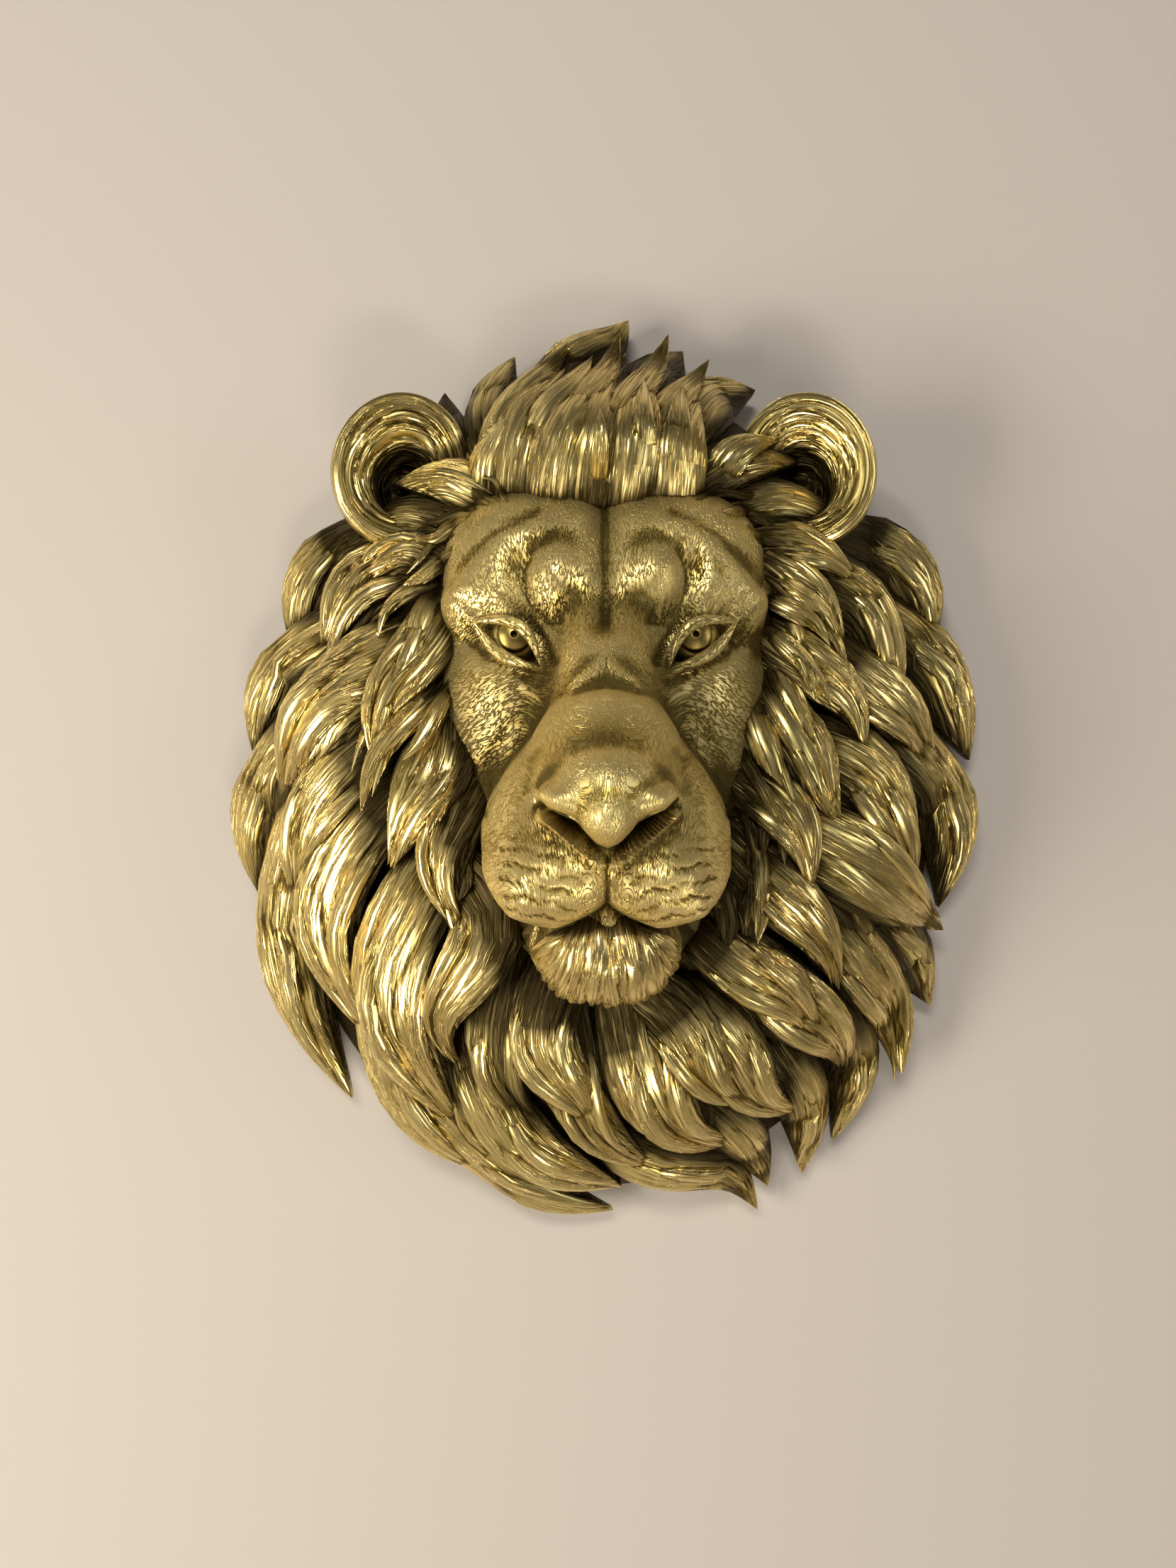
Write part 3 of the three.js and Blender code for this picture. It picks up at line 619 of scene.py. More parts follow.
def ear_skin(side, around=96, along=58):
    """The profile, smoothed, swept round an ellipse. The dip of the cup lies low and inwards, and grooves of
    hair run round it in a slow spiral."""
    knot = np.linspace(0, len(EAR_REACH) - 1, along + 1)
    blur = np.exp(-(((knot[:, None] - np.arange(-1, len(EAR_REACH) + 1)) / 0.55) ** 2))
    blur /= blur.sum(1, keepdims=True)
    reach = (blur @ np.array((-EAR_REACH[1], *EAR_REACH, -EAR_REACH[-2])))[:, None]
    out = (blur @ np.array((EAR_OUT[1], *EAR_OUT, EAR_OUT[-2])))[:, None]
    angle = 2 * np.pi * np.arange(around) / around + (np.pi if side > 0 else 0)
    inside = smooth(5.0, 6.5, knot)[:, None]
    spiral = EAR_TURNS * reach + side * angle / np.pi + 0.3 * np.sin(3 * angle)
    out = out - inside * EAR_GROOVE * (1 - np.abs(np.sin(np.pi * spiral))) ** 1.3
    into = smooth(4.5, 9.5, knot)[:, None] * (1 - reach)
    across = EAR_HALF_WIDE * reach * np.cos(angle) - side * HOLLOW_ASIDE * into
    upright = EAR_HALF_HIGH * reach * np.sin(angle) - HOLLOW_DOWN * into
    lean, turn = side * EAR_LEAN, -side * EAR_TURN
    turned_x = across * np.cos(turn) + out * np.sin(turn)
    turned_y = -out * np.cos(turn) + across * np.sin(turn)
    x = turned_x * np.cos(lean) + upright * np.sin(lean)
    z = upright * np.cos(lean) - turned_x * np.sin(lean)
    points = np.stack([side * EAR_X + x, turned_y - EAR_DEPTH, EAR_Z + z], -1)
    hair = np.stack(np.broadcast_arrays(24 * reach, 18 * angle, 50.0 + side), -1)
    return closed_skin(points[1:-1], points[0].mean(0), points[-1].mean(0), hair[1:-1])


ears = [ear_skin(side) for side in (1, -1)]
print("Ears:", sum(len(skin["faces"]) for skin in ears), "triangles")

# %% [markdown]
# ## Eyes and nostrils
# Each eye is a ball in the almond opening, with a raised iris, a groove round it and a drilled pupil. Two
# lids lie over it: thin locks bowed along the opening. The comma-shaped nostrils are skins too, but they
# are carved out of the head. Small forms that sit so close are easier to place as skins than to sculpt.

# %% Eyes
IRIS_RADIUS, IRIS_RAISED, IRIS_GROOVE, IRIS_GROOVE_WIDE = 5.3, 0.9, 1.4, 0.6
PUPIL_RADIUS, PUPIL_DEEP = 1.0, 3.0
LID_WIDTH, LID_OVER = 4.2, -0.4


def eye_ball(side, around=52, along=60):
    """A ball about the line of sight: its radius grows over the iris, dips round it in a bell curve, and
    is cut back in the pupil."""
    polar = (np.pi * (np.arange(1, along) / along) ** 1.6)[:, None]
    turn = 2 * np.pi * np.arange(around) / around
    off = EYE_RADIUS * np.sin(polar)
    front = polar < np.pi / 2
    iris = IRIS_RAISED * (1 - smooth(IRIS_RADIUS - 0.4, IRIS_RADIUS, off)) * front
    groove = IRIS_GROOVE * np.exp(-(((off - IRIS_RADIUS - 0.5) / IRIS_GROOVE_WIDE) ** 2)) * front
    pupil = PUPIL_DEEP * (1 - smooth(PUPIL_RADIUS - 0.3, PUPIL_RADIUS + 0.1, off)) * front
    radius = EYE_RADIUS + iris - groove - pupil
    away = radius * np.sin(polar)
    depth = EYE_DEPTH + radius * np.cos(polar) + 0 * turn
    points = np.stack([side * EYE_X + away * np.cos(turn), -depth, EYE_Z + away * np.sin(turn)], -1)
    middle = np.array([side * EYE_X, 0, EYE_Z])
    start = middle - [0, EYE_DEPTH + EYE_RADIUS + IRIS_RAISED - PUPIL_DEEP, 0]
    return closed_skin(points, start, middle - [0, EYE_DEPTH - EYE_RADIUS, 0], points, SLEEK)


def ball_depth(x, z, side):
    """Depth of an eyeball's front at (x, z), and 0 beside it."""
    left = EYE_RADIUS**2 - (x - side * EYE_X) ** 2 - (z - EYE_Z) ** 2
    return np.where(left > 0, EYE_DEPTH + np.sqrt(np.maximum(left, 0)), 0)


def line_at_depth(row, depth_at):
    """A middle line through the row's places in the front view, at the depth that depth_at gives."""

    def centre(t):
        t = np.asarray(t, float)
        x, z = swung(row, t)
        return np.stack([x, -depth_at(x, z, t), z], -1)

    return centre


def lid_line(side, bow):
    """A lid's middle line, from the outer to the inner corner over the head and the ball."""
    outer = side * (EYE_X + OPENING_OUT), EYE_Z + OPENING_RISE
    inner = side * (EYE_X - OPENING_IN), EYE_Z - OPENING_FALL

    def depth_at(x, z, t):
        return np.maximum(head_depth(x, z), ball_depth(x, z, side)) + LID_OVER

    return line_at_depth((*outer, *inner, side * bow, 0), depth_at)


eyes = [eye_ball(side) for side in (1, -1)]
for side in (1, -1):
    for bow in (-OPENING_UPPER, OPENING_LOWER):
        lid = lock_skin(lid_line(side, bow), LID_WIDTH, 0.75, top=12, along=40, strands=1, comb=0.03)
        eyes.append({**lid, "paint": FUR})
print("Eyes:", sum(len(skin["faces"]) for skin in eyes), "triangles")

# %% Nostrils
NOSTRIL_OUTER, NOSTRIL_INNER, NOSTRIL_BOW, NOSTRIL_WIDTH = (18.6, -13.2), (6.8, -20.6), 1.2, 5.0
NOSTRIL_SUNK = 2.0, 6.0


def nostril_line(side):
    """Along a nostril from its outer corner, sinking into the nose towards its inner end."""
    (x0, z0), (x1, z1) = NOSTRIL_OUTER, NOSTRIL_INNER
    first, last = head_depth(x0, z0) - NOSTRIL_SUNK[0], head_depth(x1, z1 + 3) - NOSTRIL_SUNK[1]
    row = (side * x0, z0, side * x1, z1, -side * NOSTRIL_BOW, 0)
    return line_at_depth(row, lambda x, z, t: mix(first, last, t))


nostrils = []
for side in (1, -1):
    nostrils.append(lock_skin(nostril_line(side), NOSTRIL_WIDTH, 1, top=14, along=30, strands=1, comb=0))
print("Nostrils:", len(nostrils))

# %% [markdown]
# ## Beard, fringe and jaw tufts
# The chin carries a short beard of fine strands that fan out from under the lip. Small locks lie all
# round the edge of the face, where the short fur grows into the mane. They are made as the mane is, but
# they begin under the head's skin, so that the face has no seam.

# %% Beard
CHIN_MIDDLE, CHIN_HALF, _ = HEAD_MASSES["chin"]
# Rows of strands: how many, how wide the first is, where they end, how high they lie on the chin.
BEARD_STRANDS = ((17, 6.2, -77.0, -0.6), (19, 4.8, -76.0, 0.5), (13, 3.8, -72.0, 1.2))
BEARD_TIP_POWER, BEARD_REACH, BEARD_FAN = 0.45, 0.98, (0.34, 0.95)
BEARD_TOP, BEARD_TOP_FALL, BEARD_SIDE_RISE = -43, 7, 13


def chin_depth(x, z):
    """Depth of the chin's ellipsoid at (x, z), levelled off near its edge."""
    left = 1 - (x / CHIN_HALF[0]) ** 2 - ((z - CHIN_MIDDLE[2]) / (CHIN_HALF[2] + 3)) ** 2
    return CHIN_MIDDLE[1] + CHIN_HALF[1] * np.sqrt(np.maximum(left, 0.05))


def beard_line(reach, low, lift, wave):
    """A strand from under the lip to the beard's edge: reach is how far out it ends, -1 to 1."""

    def centre(t):
        t = np.asarray(t, float)
        x = CHIN_HALF[0] * reach * mix(*BEARD_FAN, t) + wave * np.sin(2.5 * np.pi * t)
        z = mix(BEARD_TOP - BEARD_TOP_FALL * reach**2, low + BEARD_SIDE_RISE * reach**4, t)
        return np.stack([x, -chin_depth(x, z) - lift, z], -1)

    return centre


beard = []
for count, wide, low, lift in BEARD_STRANDS:
    for k in range(count):
        reach = mix(-BEARD_REACH, BEARD_REACH, k / (count - 1)) + random.uniform(-0.04, 0.04)
        low_here, lift_here = low + random.uniform(-1, 3), lift + random.uniform(-0.5, 0.5)
        line = beard_line(reach, low_here, lift_here, random.uniform(-0.7, 0.7))
        # Each strand is a little narrower or wider than the last one.
        wide = wide * random.uniform(0.85, 1.2)
        beard.append(lock_skin(line, wide, 0.7, top=11, along=17, strands=2, comb=0.2, tip=BEARD_TIP_POWER))
print("Beard:", len(beard), "strands")

# %% Fringe and tufts
# The edge of the face from the hairline down to the jaw: x, z, the way that the hair grows there in
# degrees over the horizon outwards, its length, and how high over the bed its tips lie.
FACE_EDGE = (
    (33, 95, 52, 24, 10), (49, 85, 0, 34, 14), (57, 68, -46, 44, 17),
    (57, 46, -62, 56, 19), (53, 24, -67, 58, 18), (48, 6, -71, 54, 17), (46, -12, -76, 46, 16),
    (46, -28, -82, 38, 14), (43, -42, -90, 30, 11),
)
JAW_TUFTS = ((35, -44, 35, -72, 3, 0, 12), (-36, -44, -34, -74, -3, 0, 12))
FRINGE_COUNT, FRINGE_WIDTH, FRINGE_INSIDE, FRINGE_LOW = 29, 8.5, 7.0, 5
# How the fringe's locks differ: place, heading in degrees, length, bow, swing, width and lift of the tip.
FRINGE_PLACES, FRINGE_TURNS, FRINGE_LENGTHS = (-0.3, 0.3), (-10, 10), (0.6, 1.15)
FRINGE_BOWS, FRINGE_SWINGS, FRINGE_WIDTHS, FRINGE_LIFTS = (-2, 6), (-2.5, 2.5), (0.55, 1.5), (-4, 1.5)


def over_head(row, low, high, sunk):
    """A middle line that begins sunk under the head's skin and then rises from low to high over the bed."""
    places = np.linspace(-0.1, 1.2, 27)
    x, z = swung(row, places)
    ground = bed_depth(x, z)
    skull = np.maximum(head_depth(x, z), ground)
    mane_top = ground + mix(low, high, places)
    depths = mix(skull - sunk, np.maximum(skull, mane_top), smooth(0, 0.4, places))
    return line_at_depth(row, lambda x, z, t: np.interp(t, places, depths))


def fringe_rows(side):
    """Small locks along the edge of the face, each from a little inside it and the way the hair grows."""
    edge = np.array(FACE_EDGE, float)
    along = np.concatenate([[0], np.cumsum(np.hypot(*np.diff(edge[:, :2], axis=0).T))])
    for k in range(FRINGE_COUNT):
        share = (k + 0.5 + random.uniform(*FRINGE_PLACES)) / FRINGE_COUNT
        x, z, grows, length, high = (np.interp(share * along[-1], along, column) for column in edge.T)
        heading = np.radians(grows + random.uniform(*FRINGE_TURNS))
        length = length * random.uniform(*FRINGE_LENGTHS)
        start_x, start_z = x - FRINGE_INSIDE * np.cos(heading), z - FRINGE_INSIDE * np.sin(heading)
        tip_x, tip_z = start_x + length * np.cos(heading), start_z + length * np.sin(heading)
        bow, swing = side * random.uniform(*FRINGE_BOWS), random.uniform(*FRINGE_SWINGS)
        width = FRINGE_WIDTH * random.uniform(*FRINGE_WIDTHS) * smooth(0, 40, length)
        yield (side * start_x, start_z, side * tip_x, tip_z, bow, swing, width), high


fringe = []
for side in (1, -1):
    for row, high in fringe_rows(side):
        line = over_head(row, FRINGE_LOW, high + random.uniform(*FRINGE_LIFTS), 0.45 * row[-1])
        fringe.append(lock_skin(line, row[-1], 0.6, top=11, along=17, strands=3, comb=0.2, below=2))
for row in JAW_TUFTS:
    line = over_head(row, 0, 2, 0)
    fringe.append(lock_skin(line, row[-1], 0.8, top=20, along=24, strands=4, comb=0.14))
print("Fringe:", len(fringe), "locks")

# %% [markdown]
# ## One casting
# The real mask is one piece, so all the skins are joined into one. Blender's Manifold solver adds closed
# meshes quickly, drops what is hidden inside, and keeps the hair numbers on the faces' corners.

# %% Join
paints = [bpy.data.materials.new(name) for name in ("gold_on_locks", "gold_on_fur", "gold_on_smooth_parts")]


def mesh_object(name, skin):
    """A skin as a mesh object, in metres and painted. The hair numbers go on the face corners, so that two
    skins don't share them where they meet."""
    faces = skin["faces"]
    mesh = bpy.data.meshes.new(name)
    mesh.vertices.add(len(skin["points"]))
    mesh.vertices.foreach_set("co", (skin["points"] * MM).ravel())
    mesh.loops.add(faces.size)
    mesh.loops.foreach_set("vertex_index", faces.ravel())
    mesh.polygons.add(len(faces))
    mesh.polygons.foreach_set("loop_start", np.arange(0, faces.size, 3))
    for paint in paints:
        mesh.materials.append(paint)
    mesh.polygons.foreach_set("material_index", np.full(len(faces), skin["paint"]))
    mesh.update(calc_edges=True)
    hair = mesh.attributes.new("hair", "FLOAT_VECTOR", "CORNER")
    hair.data.foreach_set("vector", skin["hair"][faces.ravel()].ravel())
    return bpy.data.objects.new(name, mesh)


def carve(whole, skins, operation):
    """Adds the skins to the whole with "UNION", or takes them away with "DIFFERENCE"."""
    parts = bpy.data.collections.new("parts")
    bpy.context.scene.collection.children.link(parts)
    for k, skin in enumerate(skins):
        parts.objects.link(mesh_object(f"part_{k}", skin))
    step = whole.modifiers.new("carve", "BOOLEAN")
    step.operation, step.operand_type, step.solver = operation, "COLLECTION", "MANIFOLD"
    step.collection = parts
    whole.data = bpy.data.meshes.new_from_object(whole.evaluated_get(bpy.context.evaluated_depsgraph_get()))
    whole.modifiers.clear()
    for part in list(parts.objects):
        bpy.data.meshes.remove(part.data)
    bpy.data.collections.remove(parts)


casting = mesh_object("lion_head_casting", head)
bpy.context.scene.collection.objects.link(casting)
carve(casting, nostrils, "DIFFERENCE")
skins = [bed, *ears, *eyes, *mane, *beard, *fringe]
carve(casting, skins, "UNION")
triangles = len(casting.data.loops) - 2 * len(casting.data.polygons)
print("Casting:", triangles, "triangles from", sum(len(skin["faces"]) for skin in [head, *skins]))

# %% [markdown]
# ## Painted shade and painted highlight
# The colour is made dark in the hollows and grooves as painted shade, and pale on what stands proud as
# painted highlight. Two measures tell them apart. The wide one compares each point's depth with a blurred
# picture of the front. The fine one compares it with its neighbours in the mesh.

# %% Wide hollows
FRONT_CELL = 1.5


def box_blur(picture, reach):
    """A running mean over 2 reach + 1 cells, along both axes."""
    for axis in (0, 1):
        padded = np.pad(picture, [(reach + 1, reach) if a == axis else (0, 0) for a in (0, 1)], mode="edge")
        sums = np.cumsum(padded, axis=axis)
        high = np.take(sums, np.arange(2 * reach + 1, sums.shape[axis]), axis=axis)
        low = np.take(sums, np.arange(0, sums.shape[axis] - 2 * reach - 1), axis=axis)
        picture = (high - low) / (2 * reach + 1)
    return picture


def wide_hollow(points, reach):
    """How far below the blurred front each point lies, in millimetres."""
    low = points.min(0)[[0, 2]] - 4 * FRONT_CELL
    cells = ((points[:, [0, 2]] - low) / FRONT_CELL).astype(int)
    front = np.zeros(cells.max(0) + 5)
    np.maximum.at(front, (cells[:, 0], cells[:, 1]), -points[:, 1])
    for _ in range(2):
        shifted = [np.roll(front, (i, j), (0, 1)) for i in (-1, 0, 1) for j in (-1, 0, 1)]
        front = np.where(front > 0, front, np.max(shifted, axis=0))
    blurred = box_blur(box_blur(front, reach), reach)
    return blurred[cells[:, 0], cells[:, 1]] + points[:, 1]

# %% Fine hollows
def neighbour_mean(values, edges):
    """The mean of a value over the points that share an edge with each point."""
    total = np.zeros_like(values)
    for near, far in (edges.T, edges.T[::-1]):
        for k in range(values.shape[1]):
            total[:, k] += np.bincount(near, values[far, k], len(values))
    count = np.bincount(edges.ravel(), minlength=len(values))[:, None]
    return total / np.maximum(count, 1)


def fine_hollow(points, edges, normals, rounds=2):
    """How far a point's neighbours stand out over it along its normal, after that many rounds, in mm."""
    average = points
    for _ in range(rounds):
        average = neighbour_mean(average, edges)
    return np.einsum("ij,ij->i", average - points, normals)

# %% Painted shade and highlight masks on the points
WIDE_REACHES, WIDE_GAIN, WIDE_ROUNDS, NEAR_WALL = (4, 10), 0.85, 3, 8
PAINTED_SHADE_FROM_TO, GROOVE_FROM_TO = (-0.5, 4.0), (-0.15, 0.15)
NOSE_Z, NOSE_RADIUS, NOSE_FADE = 1, 25, (0.85, 1.15)


def read(items, name, width, kind=np.float32):
    """A row of that many numbers from each of a mesh's vertices, edges or faces."""
    flat = np.empty(len(items) * width, kind)
    items.foreach_get(name, flat)
    return flat.reshape(-1, width)


def pupil_and_iris_shade(points):
    """Painted shade: 1 in each pupil and less in the ring round each iris, 0 elsewhere."""
    off = np.hypot(np.abs(points[:, 0]) - EYE_X, points[:, 2] - EYE_Z)
    ring = np.exp(-(((off - IRIS_RADIUS - 0.6) / 0.8) ** 2))
    on_eye = points[:, 1] < -EYE_DEPTH
    return np.maximum(1 - smooth(PUPIL_RADIUS - 0.1, PUPIL_RADIUS + 0.4, off), 0.8 * ring) * on_eye


mesh = casting.data
points = read(mesh.vertices, "co", 3).astype(float) / MM
normals = read(mesh.vertices, "normal", 3).astype(float)
edges = read(mesh.edges, "vertices", 2, np.int32)
wide = WIDE_GAIN * sum(wide_hollow(points, reach) for reach in WIDE_REACHES)
for _ in range(WIDE_ROUNDS):
    wide = neighbour_mean(wide[:, None], edges)[:, 0]
wide *= smooth(0, NEAR_WALL, -points[:, 1])
fine = fine_hollow(points, edges, normals)
off_nose = np.hypot(points[:, 0] / NOSE_RADIUS, (points[:, 2] - NOSE_Z) / NOSE_RADIUS)
# The first mask is painted shade in the wide hollows, the pupils and round the irises; the groove mask is
# painted shade in grooves and painted highlight on ridges.
masks = {
    "painted_shade": np.maximum(smooth(*PAINTED_SHADE_FROM_TO, wide), pupil_and_iris_shade(points)),
    "groove": smooth(*GROOVE_FROM_TO, fine),
    "fur": smooth(*NOSE_FADE, off_nose),
}
for name, values in masks.items():
    kept = mesh.attributes.new(name, "FLOAT", "POINT")
    kept.data.foreach_set("value", values.astype(np.float32))
    print(f"{name}: mean {values.mean():.2f}")

# %% [markdown]
# ## Gold paint
# Metallic gold paint is bright flakes in a clear binder: nearly metal, fairly smooth, and uneven where
# the brush dragged. One shader group turns the two masks and the carved lines into colour with painted shade
# and painted highlight, and into roughness. It is built once and used on the combed hair, the short fur and
# the smooth parts alike.

# %% Node helpers
def feed(tree, socket, value):
    """Gives an input socket a plain value, or joins another node's output to it."""
    if isinstance(value, bpy.types.NodeSocket):
        tree.links.new(value, socket)
    else:
        socket.default_value = value


def add(tree, kind, **settings):
    """A node of that kind. Each setting is one of its properties, or else what is fed to the input of
    that name."""
    made = tree.nodes.new("ShaderNode" + kind)
    for key, value in settings.items():
        if hasattr(made, key):
            setattr(made, key, value)
        else:
            feed(tree, made.inputs[key.replace("_", " ")], value)
    return made


def maths(tree, operation, *values):
    """The result of a Math node on sockets or plain numbers."""
    made = add(tree, "Math", operation=operation)
    for socket, value in zip(made.inputs, values):
        feed(tree, socket, value)
    return made.outputs[0]


def times(tree, first, second):
    """A product."""
    return maths(tree, "MULTIPLY", first, second)


def plus(tree, first, second):
    """A sum."""
    return maths(tree, "ADD", first, second)


def blend_colour(tree, share, first, second):
    """From the first colour to the second by that share."""
    made = add(tree, "Mix", data_type="RGBA")
    for place, value in zip((0, 6, 7), (share, first, second)):
        feed(tree, made.inputs[place], value)
    return made.outputs[2]


def new_group(name, inputs, outputs):
    """An empty shader group with those sockets, and its input and output nodes."""
    group = bpy.data.node_groups.new(name, "ShaderNodeTree")
    for way, sockets in (("INPUT", inputs), ("OUTPUT", outputs)):
        for socket, kind in sockets.items():
            group.interface.new_socket(socket, in_out=way, socket_type="NodeSocket" + kind)
    return group, group.nodes.new("NodeGroupInput"), group.nodes.new("NodeGroupOutput")

# %% Engraved lines
LINE_STEEPNESS = 15.0


def engraved_lines():
    """Fine lines along the hair: noise stretched along the strands, folded at its middle so that it is 0
    on thin lines and 1 between them."""
    inputs = {"Hair": "Vector", "Stretch": "Vector"}
    group, into, out = new_group("engraved lines", inputs, {"Height": "Float"})
    stretched = add(group, "VectorMath", operation="MULTIPLY")
    for name, socket in zip(inputs, stretched.inputs):
        feed(group, socket, into.outputs[name])
    noise = add(group, "TexNoise", Vector=stretched.outputs[0], Scale=1.0, Detail=3.0, Roughness=0.55)
    folded = maths(group, "ABSOLUTE", maths(group, "SUBTRACT", noise.outputs["Fac"], 0.5), 0)
    feed(group, out.inputs["Height"], maths(group, "MINIMUM", times(group, folded, LINE_STEEPNESS), 1.0))
    return group


LINES = engraved_lines()
print("Group:", LINES.name)

# %% Gold with painted shade and highlight
# Painted light: the pale gold is a painted highlight on ridges, the deep gold painted shade in grooves and
# lines, and the near black painted shade in the hollows. The olive is random tone.
RIDGE_HIGHLIGHT_GOLD, FULL_GOLD, GROOVE_SHADE_GOLD = (0.93, 0.72, 0.30, 1), (0.66, 0.46, 0.12, 1), (0.14, 0.08, 0.015, 1)
OLIVE_GOLD, PAINTED_SHADE_BLACK = (0.40, 0.33, 0.10, 1), (0.035, 0.023, 0.007, 1)
RIDGE_HIGHLIGHT_AT, FULL_AT, GROOVE_SHADE_AT = 0.03, 0.30, 0.68
PATCHES_IN_METRE, GRAINS_IN_METRE = 38.0, 900.0


def gold_with_painted_light():
    """Colour and roughness: pale on ridges as painted highlight, deep in grooves and lines as painted shade,
    olive in broad random patches, and near black in the hollows as painted shade."""
    inputs = {"Painted shade": "Float", "Groove": "Float", "Lines": "Float", "Roughest": "Float"}
    group, into, out = new_group("gold with painted shade and highlight", inputs, {"Color": "Color", "Roughness": "Float"})
    place = add(group, "TexCoord").outputs["Object"]
    patches = add(group, "TexNoise", Vector=place, Scale=PATCHES_IN_METRE, Detail=4.0, Roughness=0.6)
    grains = add(group, "TexNoise", Vector=place, Scale=GRAINS_IN_METRE, Detail=2.0, Roughness=0.7)
    painted_shade, groove, lines, roughest = (into.outputs[name] for name in inputs)
    # Painted shade in grooves and lines and painted highlight on ridges, with a random grain on top.
    depth = plus(group, groove, times(group, lines, -0.5))
    depth = plus(group, depth, times(group, grains.outputs["Fac"], 0.4))
    ramp = add(group, "ValToRGB", Fac=depth)
    first, last = ramp.color_ramp.elements
    first.position, first.color = RIDGE_HIGHLIGHT_AT, RIDGE_HIGHLIGHT_GOLD
    last.position, last.color = GROOVE_SHADE_AT, GROOVE_SHADE_GOLD
    ramp.color_ramp.elements.new(FULL_AT).color = FULL_GOLD
    olive = times(group, maths(group, "POWER", patches.outputs["Fac"], 2.0), 1.2)
    colour = blend_colour(group, olive, ramp.outputs["Color"], OLIVE_GOLD)
    # Painted shade: the hollows go down to near black.
    feed(group, out.inputs["Color"], blend_colour(group, times(group, painted_shade, 0.94), colour, PAINTED_SHADE_BLACK))
    rough = times(group, patches.outputs["Fac"], times(group, roughest, 0.7))
    rough = plus(group, rough, times(group, roughest, 0.65))
    feed(group, out.inputs["Roughness"], plus(group, rough, times(group, painted_shade, 0.2)))
    return group


GOLD = gold_with_painted_light()
print("Group:", GOLD.name)

# %% Gold materials
# For each paint: how metallic and how rough it is at most, how lines stretch on the hair, how high they
# stand in millimetres, and how strong the painted shade in the hollows is.
GOLD_LOOKS = {
    LOCK: (0.98, 0.28, (0.7, 0.022, 5.3), 0.8, 1.0),
    FUR: (0.92, 0.42, (1.0, 0.26, 0.6), 0.65, 0.4),
    SLEEK: (0.95, 0.34, (0.0, 0.0, 0.0), 0.1, 0.6),
}
NOSE_LINES = 0.4
SHARP_OVER = np.radians(42)


def carried(tree, name, output="Fac"):
    """What the casting's points or corners carry under that name."""
    return add(tree, "Attribute", attribute_name=name).outputs[output]


def fill_material(material, metallic, roughest, stretch, raised, painted_shade_share, faded):
    """Gold paint over lines along the hair. Where it is faded, the lines keep only a share on the nose,
    outside the fur mask."""
    material.use_nodes = True
    tree = material.node_tree
    hair = carried(tree, "hair", "Vector")
    height = add(tree, "Group", node_tree=LINES, Hair=hair, Stretch=stretch).outputs["Height"]
    if faded:
        kept = plus(tree, times(tree, carried(tree, "fur"), 1 - NOSE_LINES), NOSE_LINES)
        height = maths(tree, "SUBTRACT", 1.0, times(tree, kept, maths(tree, "SUBTRACT", 1.0, height)))
    # The hollow and groove masks put painted shade and painted highlight into the colour.
    painted_shade, groove = carried(tree, "painted_shade"), carried(tree, "groove")
    gold = add(tree, "Group", node_tree=GOLD, Groove=groove, Lines=height, Roughest=roughest)
    feed(tree, gold.inputs["Painted shade"], times(tree, painted_shade, painted_shade_share))
    bump = add(tree, "Bump", Height=height, Strength=1.0, Distance=raised * MM)
    shader = tree.nodes["Principled BSDF"]
    feed(tree, shader.inputs["Metallic"], metallic)
    feed(tree, shader.inputs["Base Color"], gold.outputs["Color"])
    feed(tree, shader.inputs["Roughness"], gold.outputs["Roughness"])
    feed(tree, shader.inputs["Normal"], bump.outputs["Normal"])


for kind, look in GOLD_LOOKS.items():
    fill_material(paints[kind], *look, faded=kind == FUR)
mesh.polygons.foreach_set("use_smooth", np.ones(len(mesh.polygons), bool))
mesh.set_sharp_from_angle(angle=SHARP_OVER)
numbers = read(mesh.polygons, "material_index", 1, np.int32)[:, 0]
print("Faces of each paint:", np.bincount(numbers).tolist())

# %% [markdown]
# ## Studio
# In the photograph the mask hangs on a plain wall, with soft light from the lower left and its shadow up
# and to the right. Area lamps give soft edges: a key lamp there, and weak ones that fill the shadows and
# draw glints on the gold. The wall and the floor are stage, not part of the mask.

# %% Lamps
# Each lamp: its place, where it looks, its width and height in metres, its watts and its colour.
LAMPS = {
    "key": ((-0.95, -0.72, -0.30), (0, -0.05, 0), 0.4, 0.8, 15, (1.0, 0.94, 0.84)),
    "front": ((-0.2, -1.25, 0.65), (0, 0, 0), 0.5, 0.25, 9, (1.0, 0.98, 0.94)),
    "low": ((0.15, -1.0, -0.85), (0, 0, -0.1), 0.4, 0.15, 4.5, (1.0, 0.95, 0.86)),
    "right": ((0.9, -0.7, 0.1), (0, -0.05, 0), 0.15, 0.7, 1.8, (0.95, 0.97, 1.0)),
}
STUDIO_AIR, AIR_IN_FRONT, AIR_BEHIND = (0.80, 0.80, 0.82, 1), 0.075, 0.7


def panel(name, place, aim, wide, high, power, colour):
    """A soft rectangular lamp that looks at aim."""
    data = bpy.data.lights.new(name, "AREA")
    data.shape, data.size, data.size_y, data.energy, data.color = "RECTANGLE", wide, high, power, colour
    lamp = bpy.data.objects.new(name, data)
    lamp.location = place
    lamp.rotation_euler = (Vector(aim) - Vector(place)).to_track_quat("-Z", "Y").to_euler()
    bpy.context.scene.collection.objects.link(lamp)


for name, lamp in LAMPS.items():
    panel(name, *lamp)
bpy.context.scene.view_settings.view_transform = "Standard"
world = bpy.data.worlds.new("studio")
bpy.context.scene.world = world
world.use_nodes = True
background = world.node_tree.nodes["Background"]
background.inputs["Color"].default_value = STUDIO_AIR
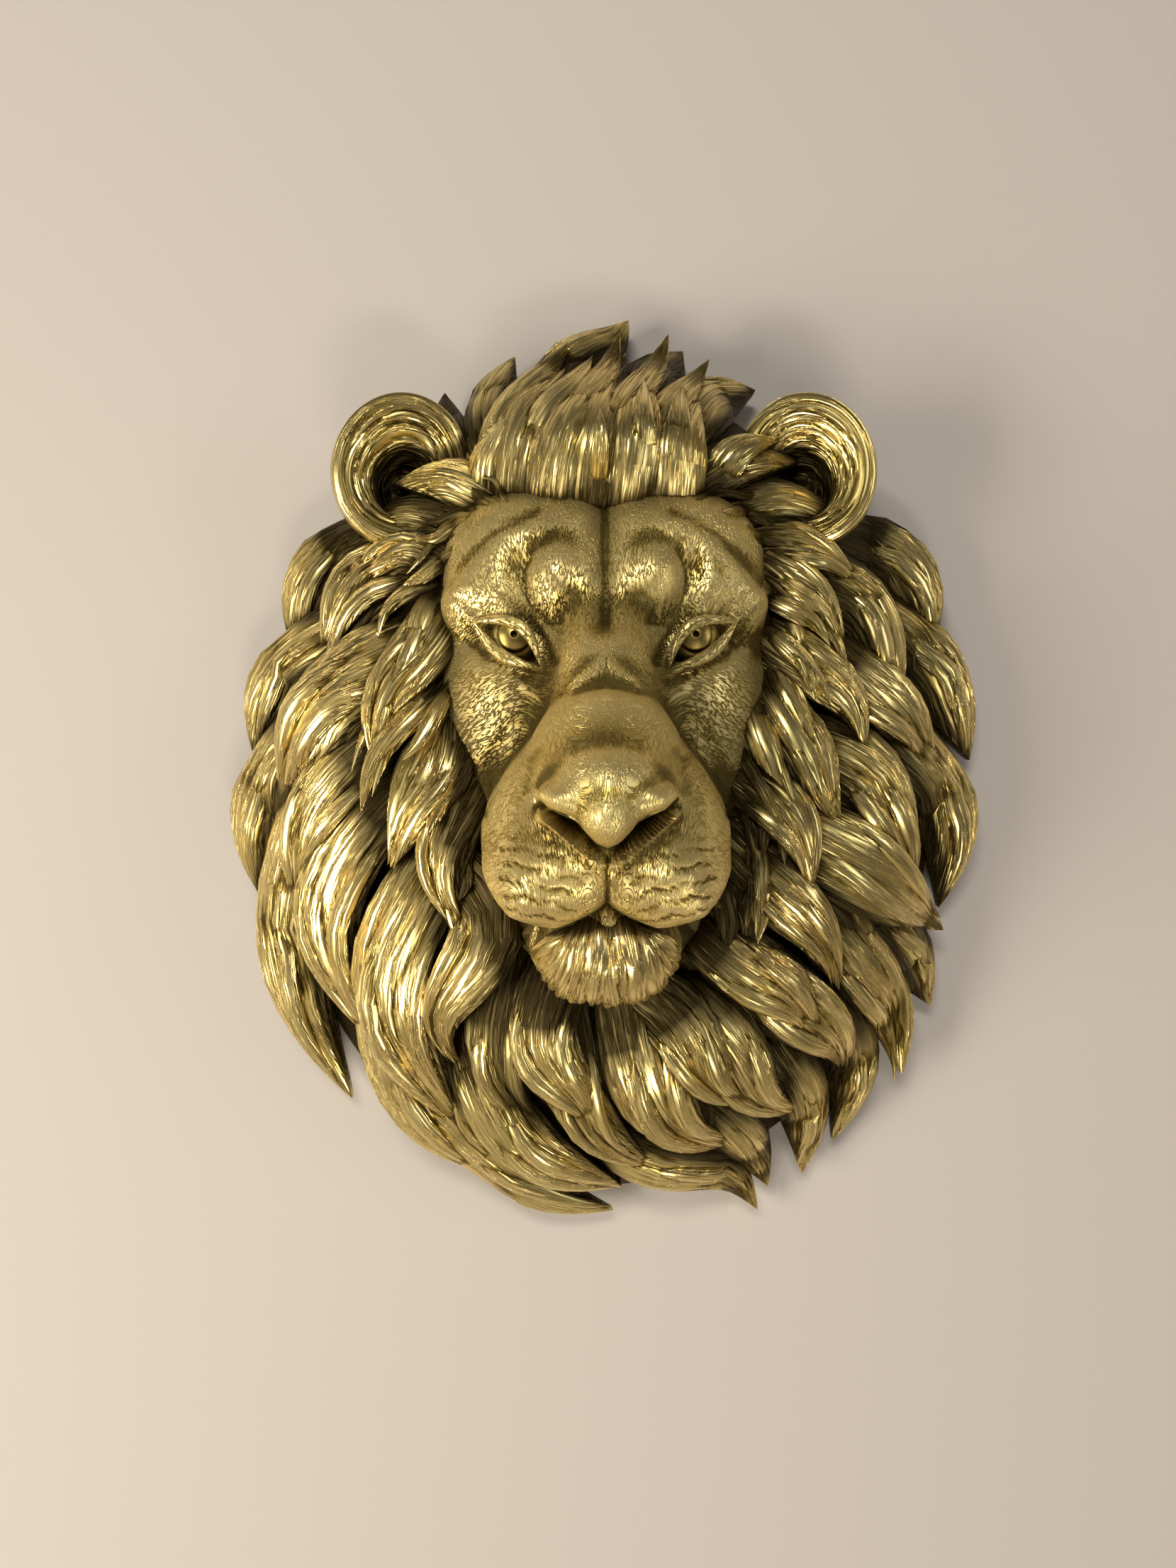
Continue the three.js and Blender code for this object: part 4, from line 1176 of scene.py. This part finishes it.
# The studio is dim in front of the mask and bright behind it, where only its back can see.
direction = add(world.node_tree, "TexCoord").outputs["Generated"]
backwards = add(world.node_tree, "SeparateXYZ", Vector=direction).outputs["Y"]
level = add(world.node_tree, "MapRange", Value=backwards, To_Min=AIR_IN_FRONT, To_Max=AIR_BEHIND)
feed(world.node_tree, background.inputs["Strength"], level.outputs["Result"])
print("Lamps:", ", ".join(LAMPS))

# %% Wall and floor
ROOM, WALL_BEHIND, FLOOR_LEVEL, WALL_SEEN_FROM = 3.0, 0.002, -1.3, 0.0032
WALL_COLOUR, FLOOR_COLOUR, PLASTER_ROUGHNESS = (0.50, 0.445, 0.385, 1), (0.60, 0.56, 0.50, 1), 0.9


def staged(name, corners, colour):
    """A plain plastered quadrilateral of the studio, which isn't part of the mask."""
    surface = bpy.data.meshes.new(name)
    surface.from_pydata(corners, [], [(0, 1, 2, 3)])
    thing = bpy.data.objects.new(name, surface)
    bpy.context.scene.collection.objects.link(thing)
    plaster = bpy.data.materials.new(name + "_plaster")
    plaster.use_nodes = True
    shader = plaster.node_tree.nodes["Principled BSDF"]
    shader.inputs["Base Color"].default_value = colour
    shader.inputs["Roughness"].default_value = PLASTER_ROUGHNESS
    surface.materials.append(plaster)
    return plaster.node_tree


def seen_from_front(tree):
    """Clears the wall from behind and from close by, so that the mask's back can be looked at."""
    shader, output = tree.nodes["Principled BSDF"], tree.nodes["Material Output"]
    close = maths(tree, "LESS_THAN", add(tree, "LightPath").outputs["Ray Length"], WALL_SEEN_FROM)
    behind = add(tree, "NewGeometry").outputs["Backfacing"]
    mixed = add(tree, "MixShader", Fac=maths(tree, "MAXIMUM", close, behind))
    feed(tree, mixed.inputs[1], shader.outputs[0])
    feed(tree, mixed.inputs[2], add(tree, "BsdfTransparent").outputs[0])
    feed(tree, output.inputs["Surface"], mixed.outputs[0])


square = [(-ROOM, -ROOM), (ROOM, -ROOM), (ROOM, ROOM), (-ROOM, ROOM)]
seen_from_front(staged("wall", [(x, WALL_BEHIND, z) for x, z in square], WALL_COLOUR))
staged("floor", [(x, y, FLOOR_LEVEL) for x, y in square], FLOOR_COLOUR)
print(f"Wall {WALL_BEHIND * 1000:.0f} mm behind the mask, floor {-FLOOR_LEVEL} m below it")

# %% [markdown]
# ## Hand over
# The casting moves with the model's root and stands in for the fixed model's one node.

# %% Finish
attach(casting, "root")
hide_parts(CASTING)
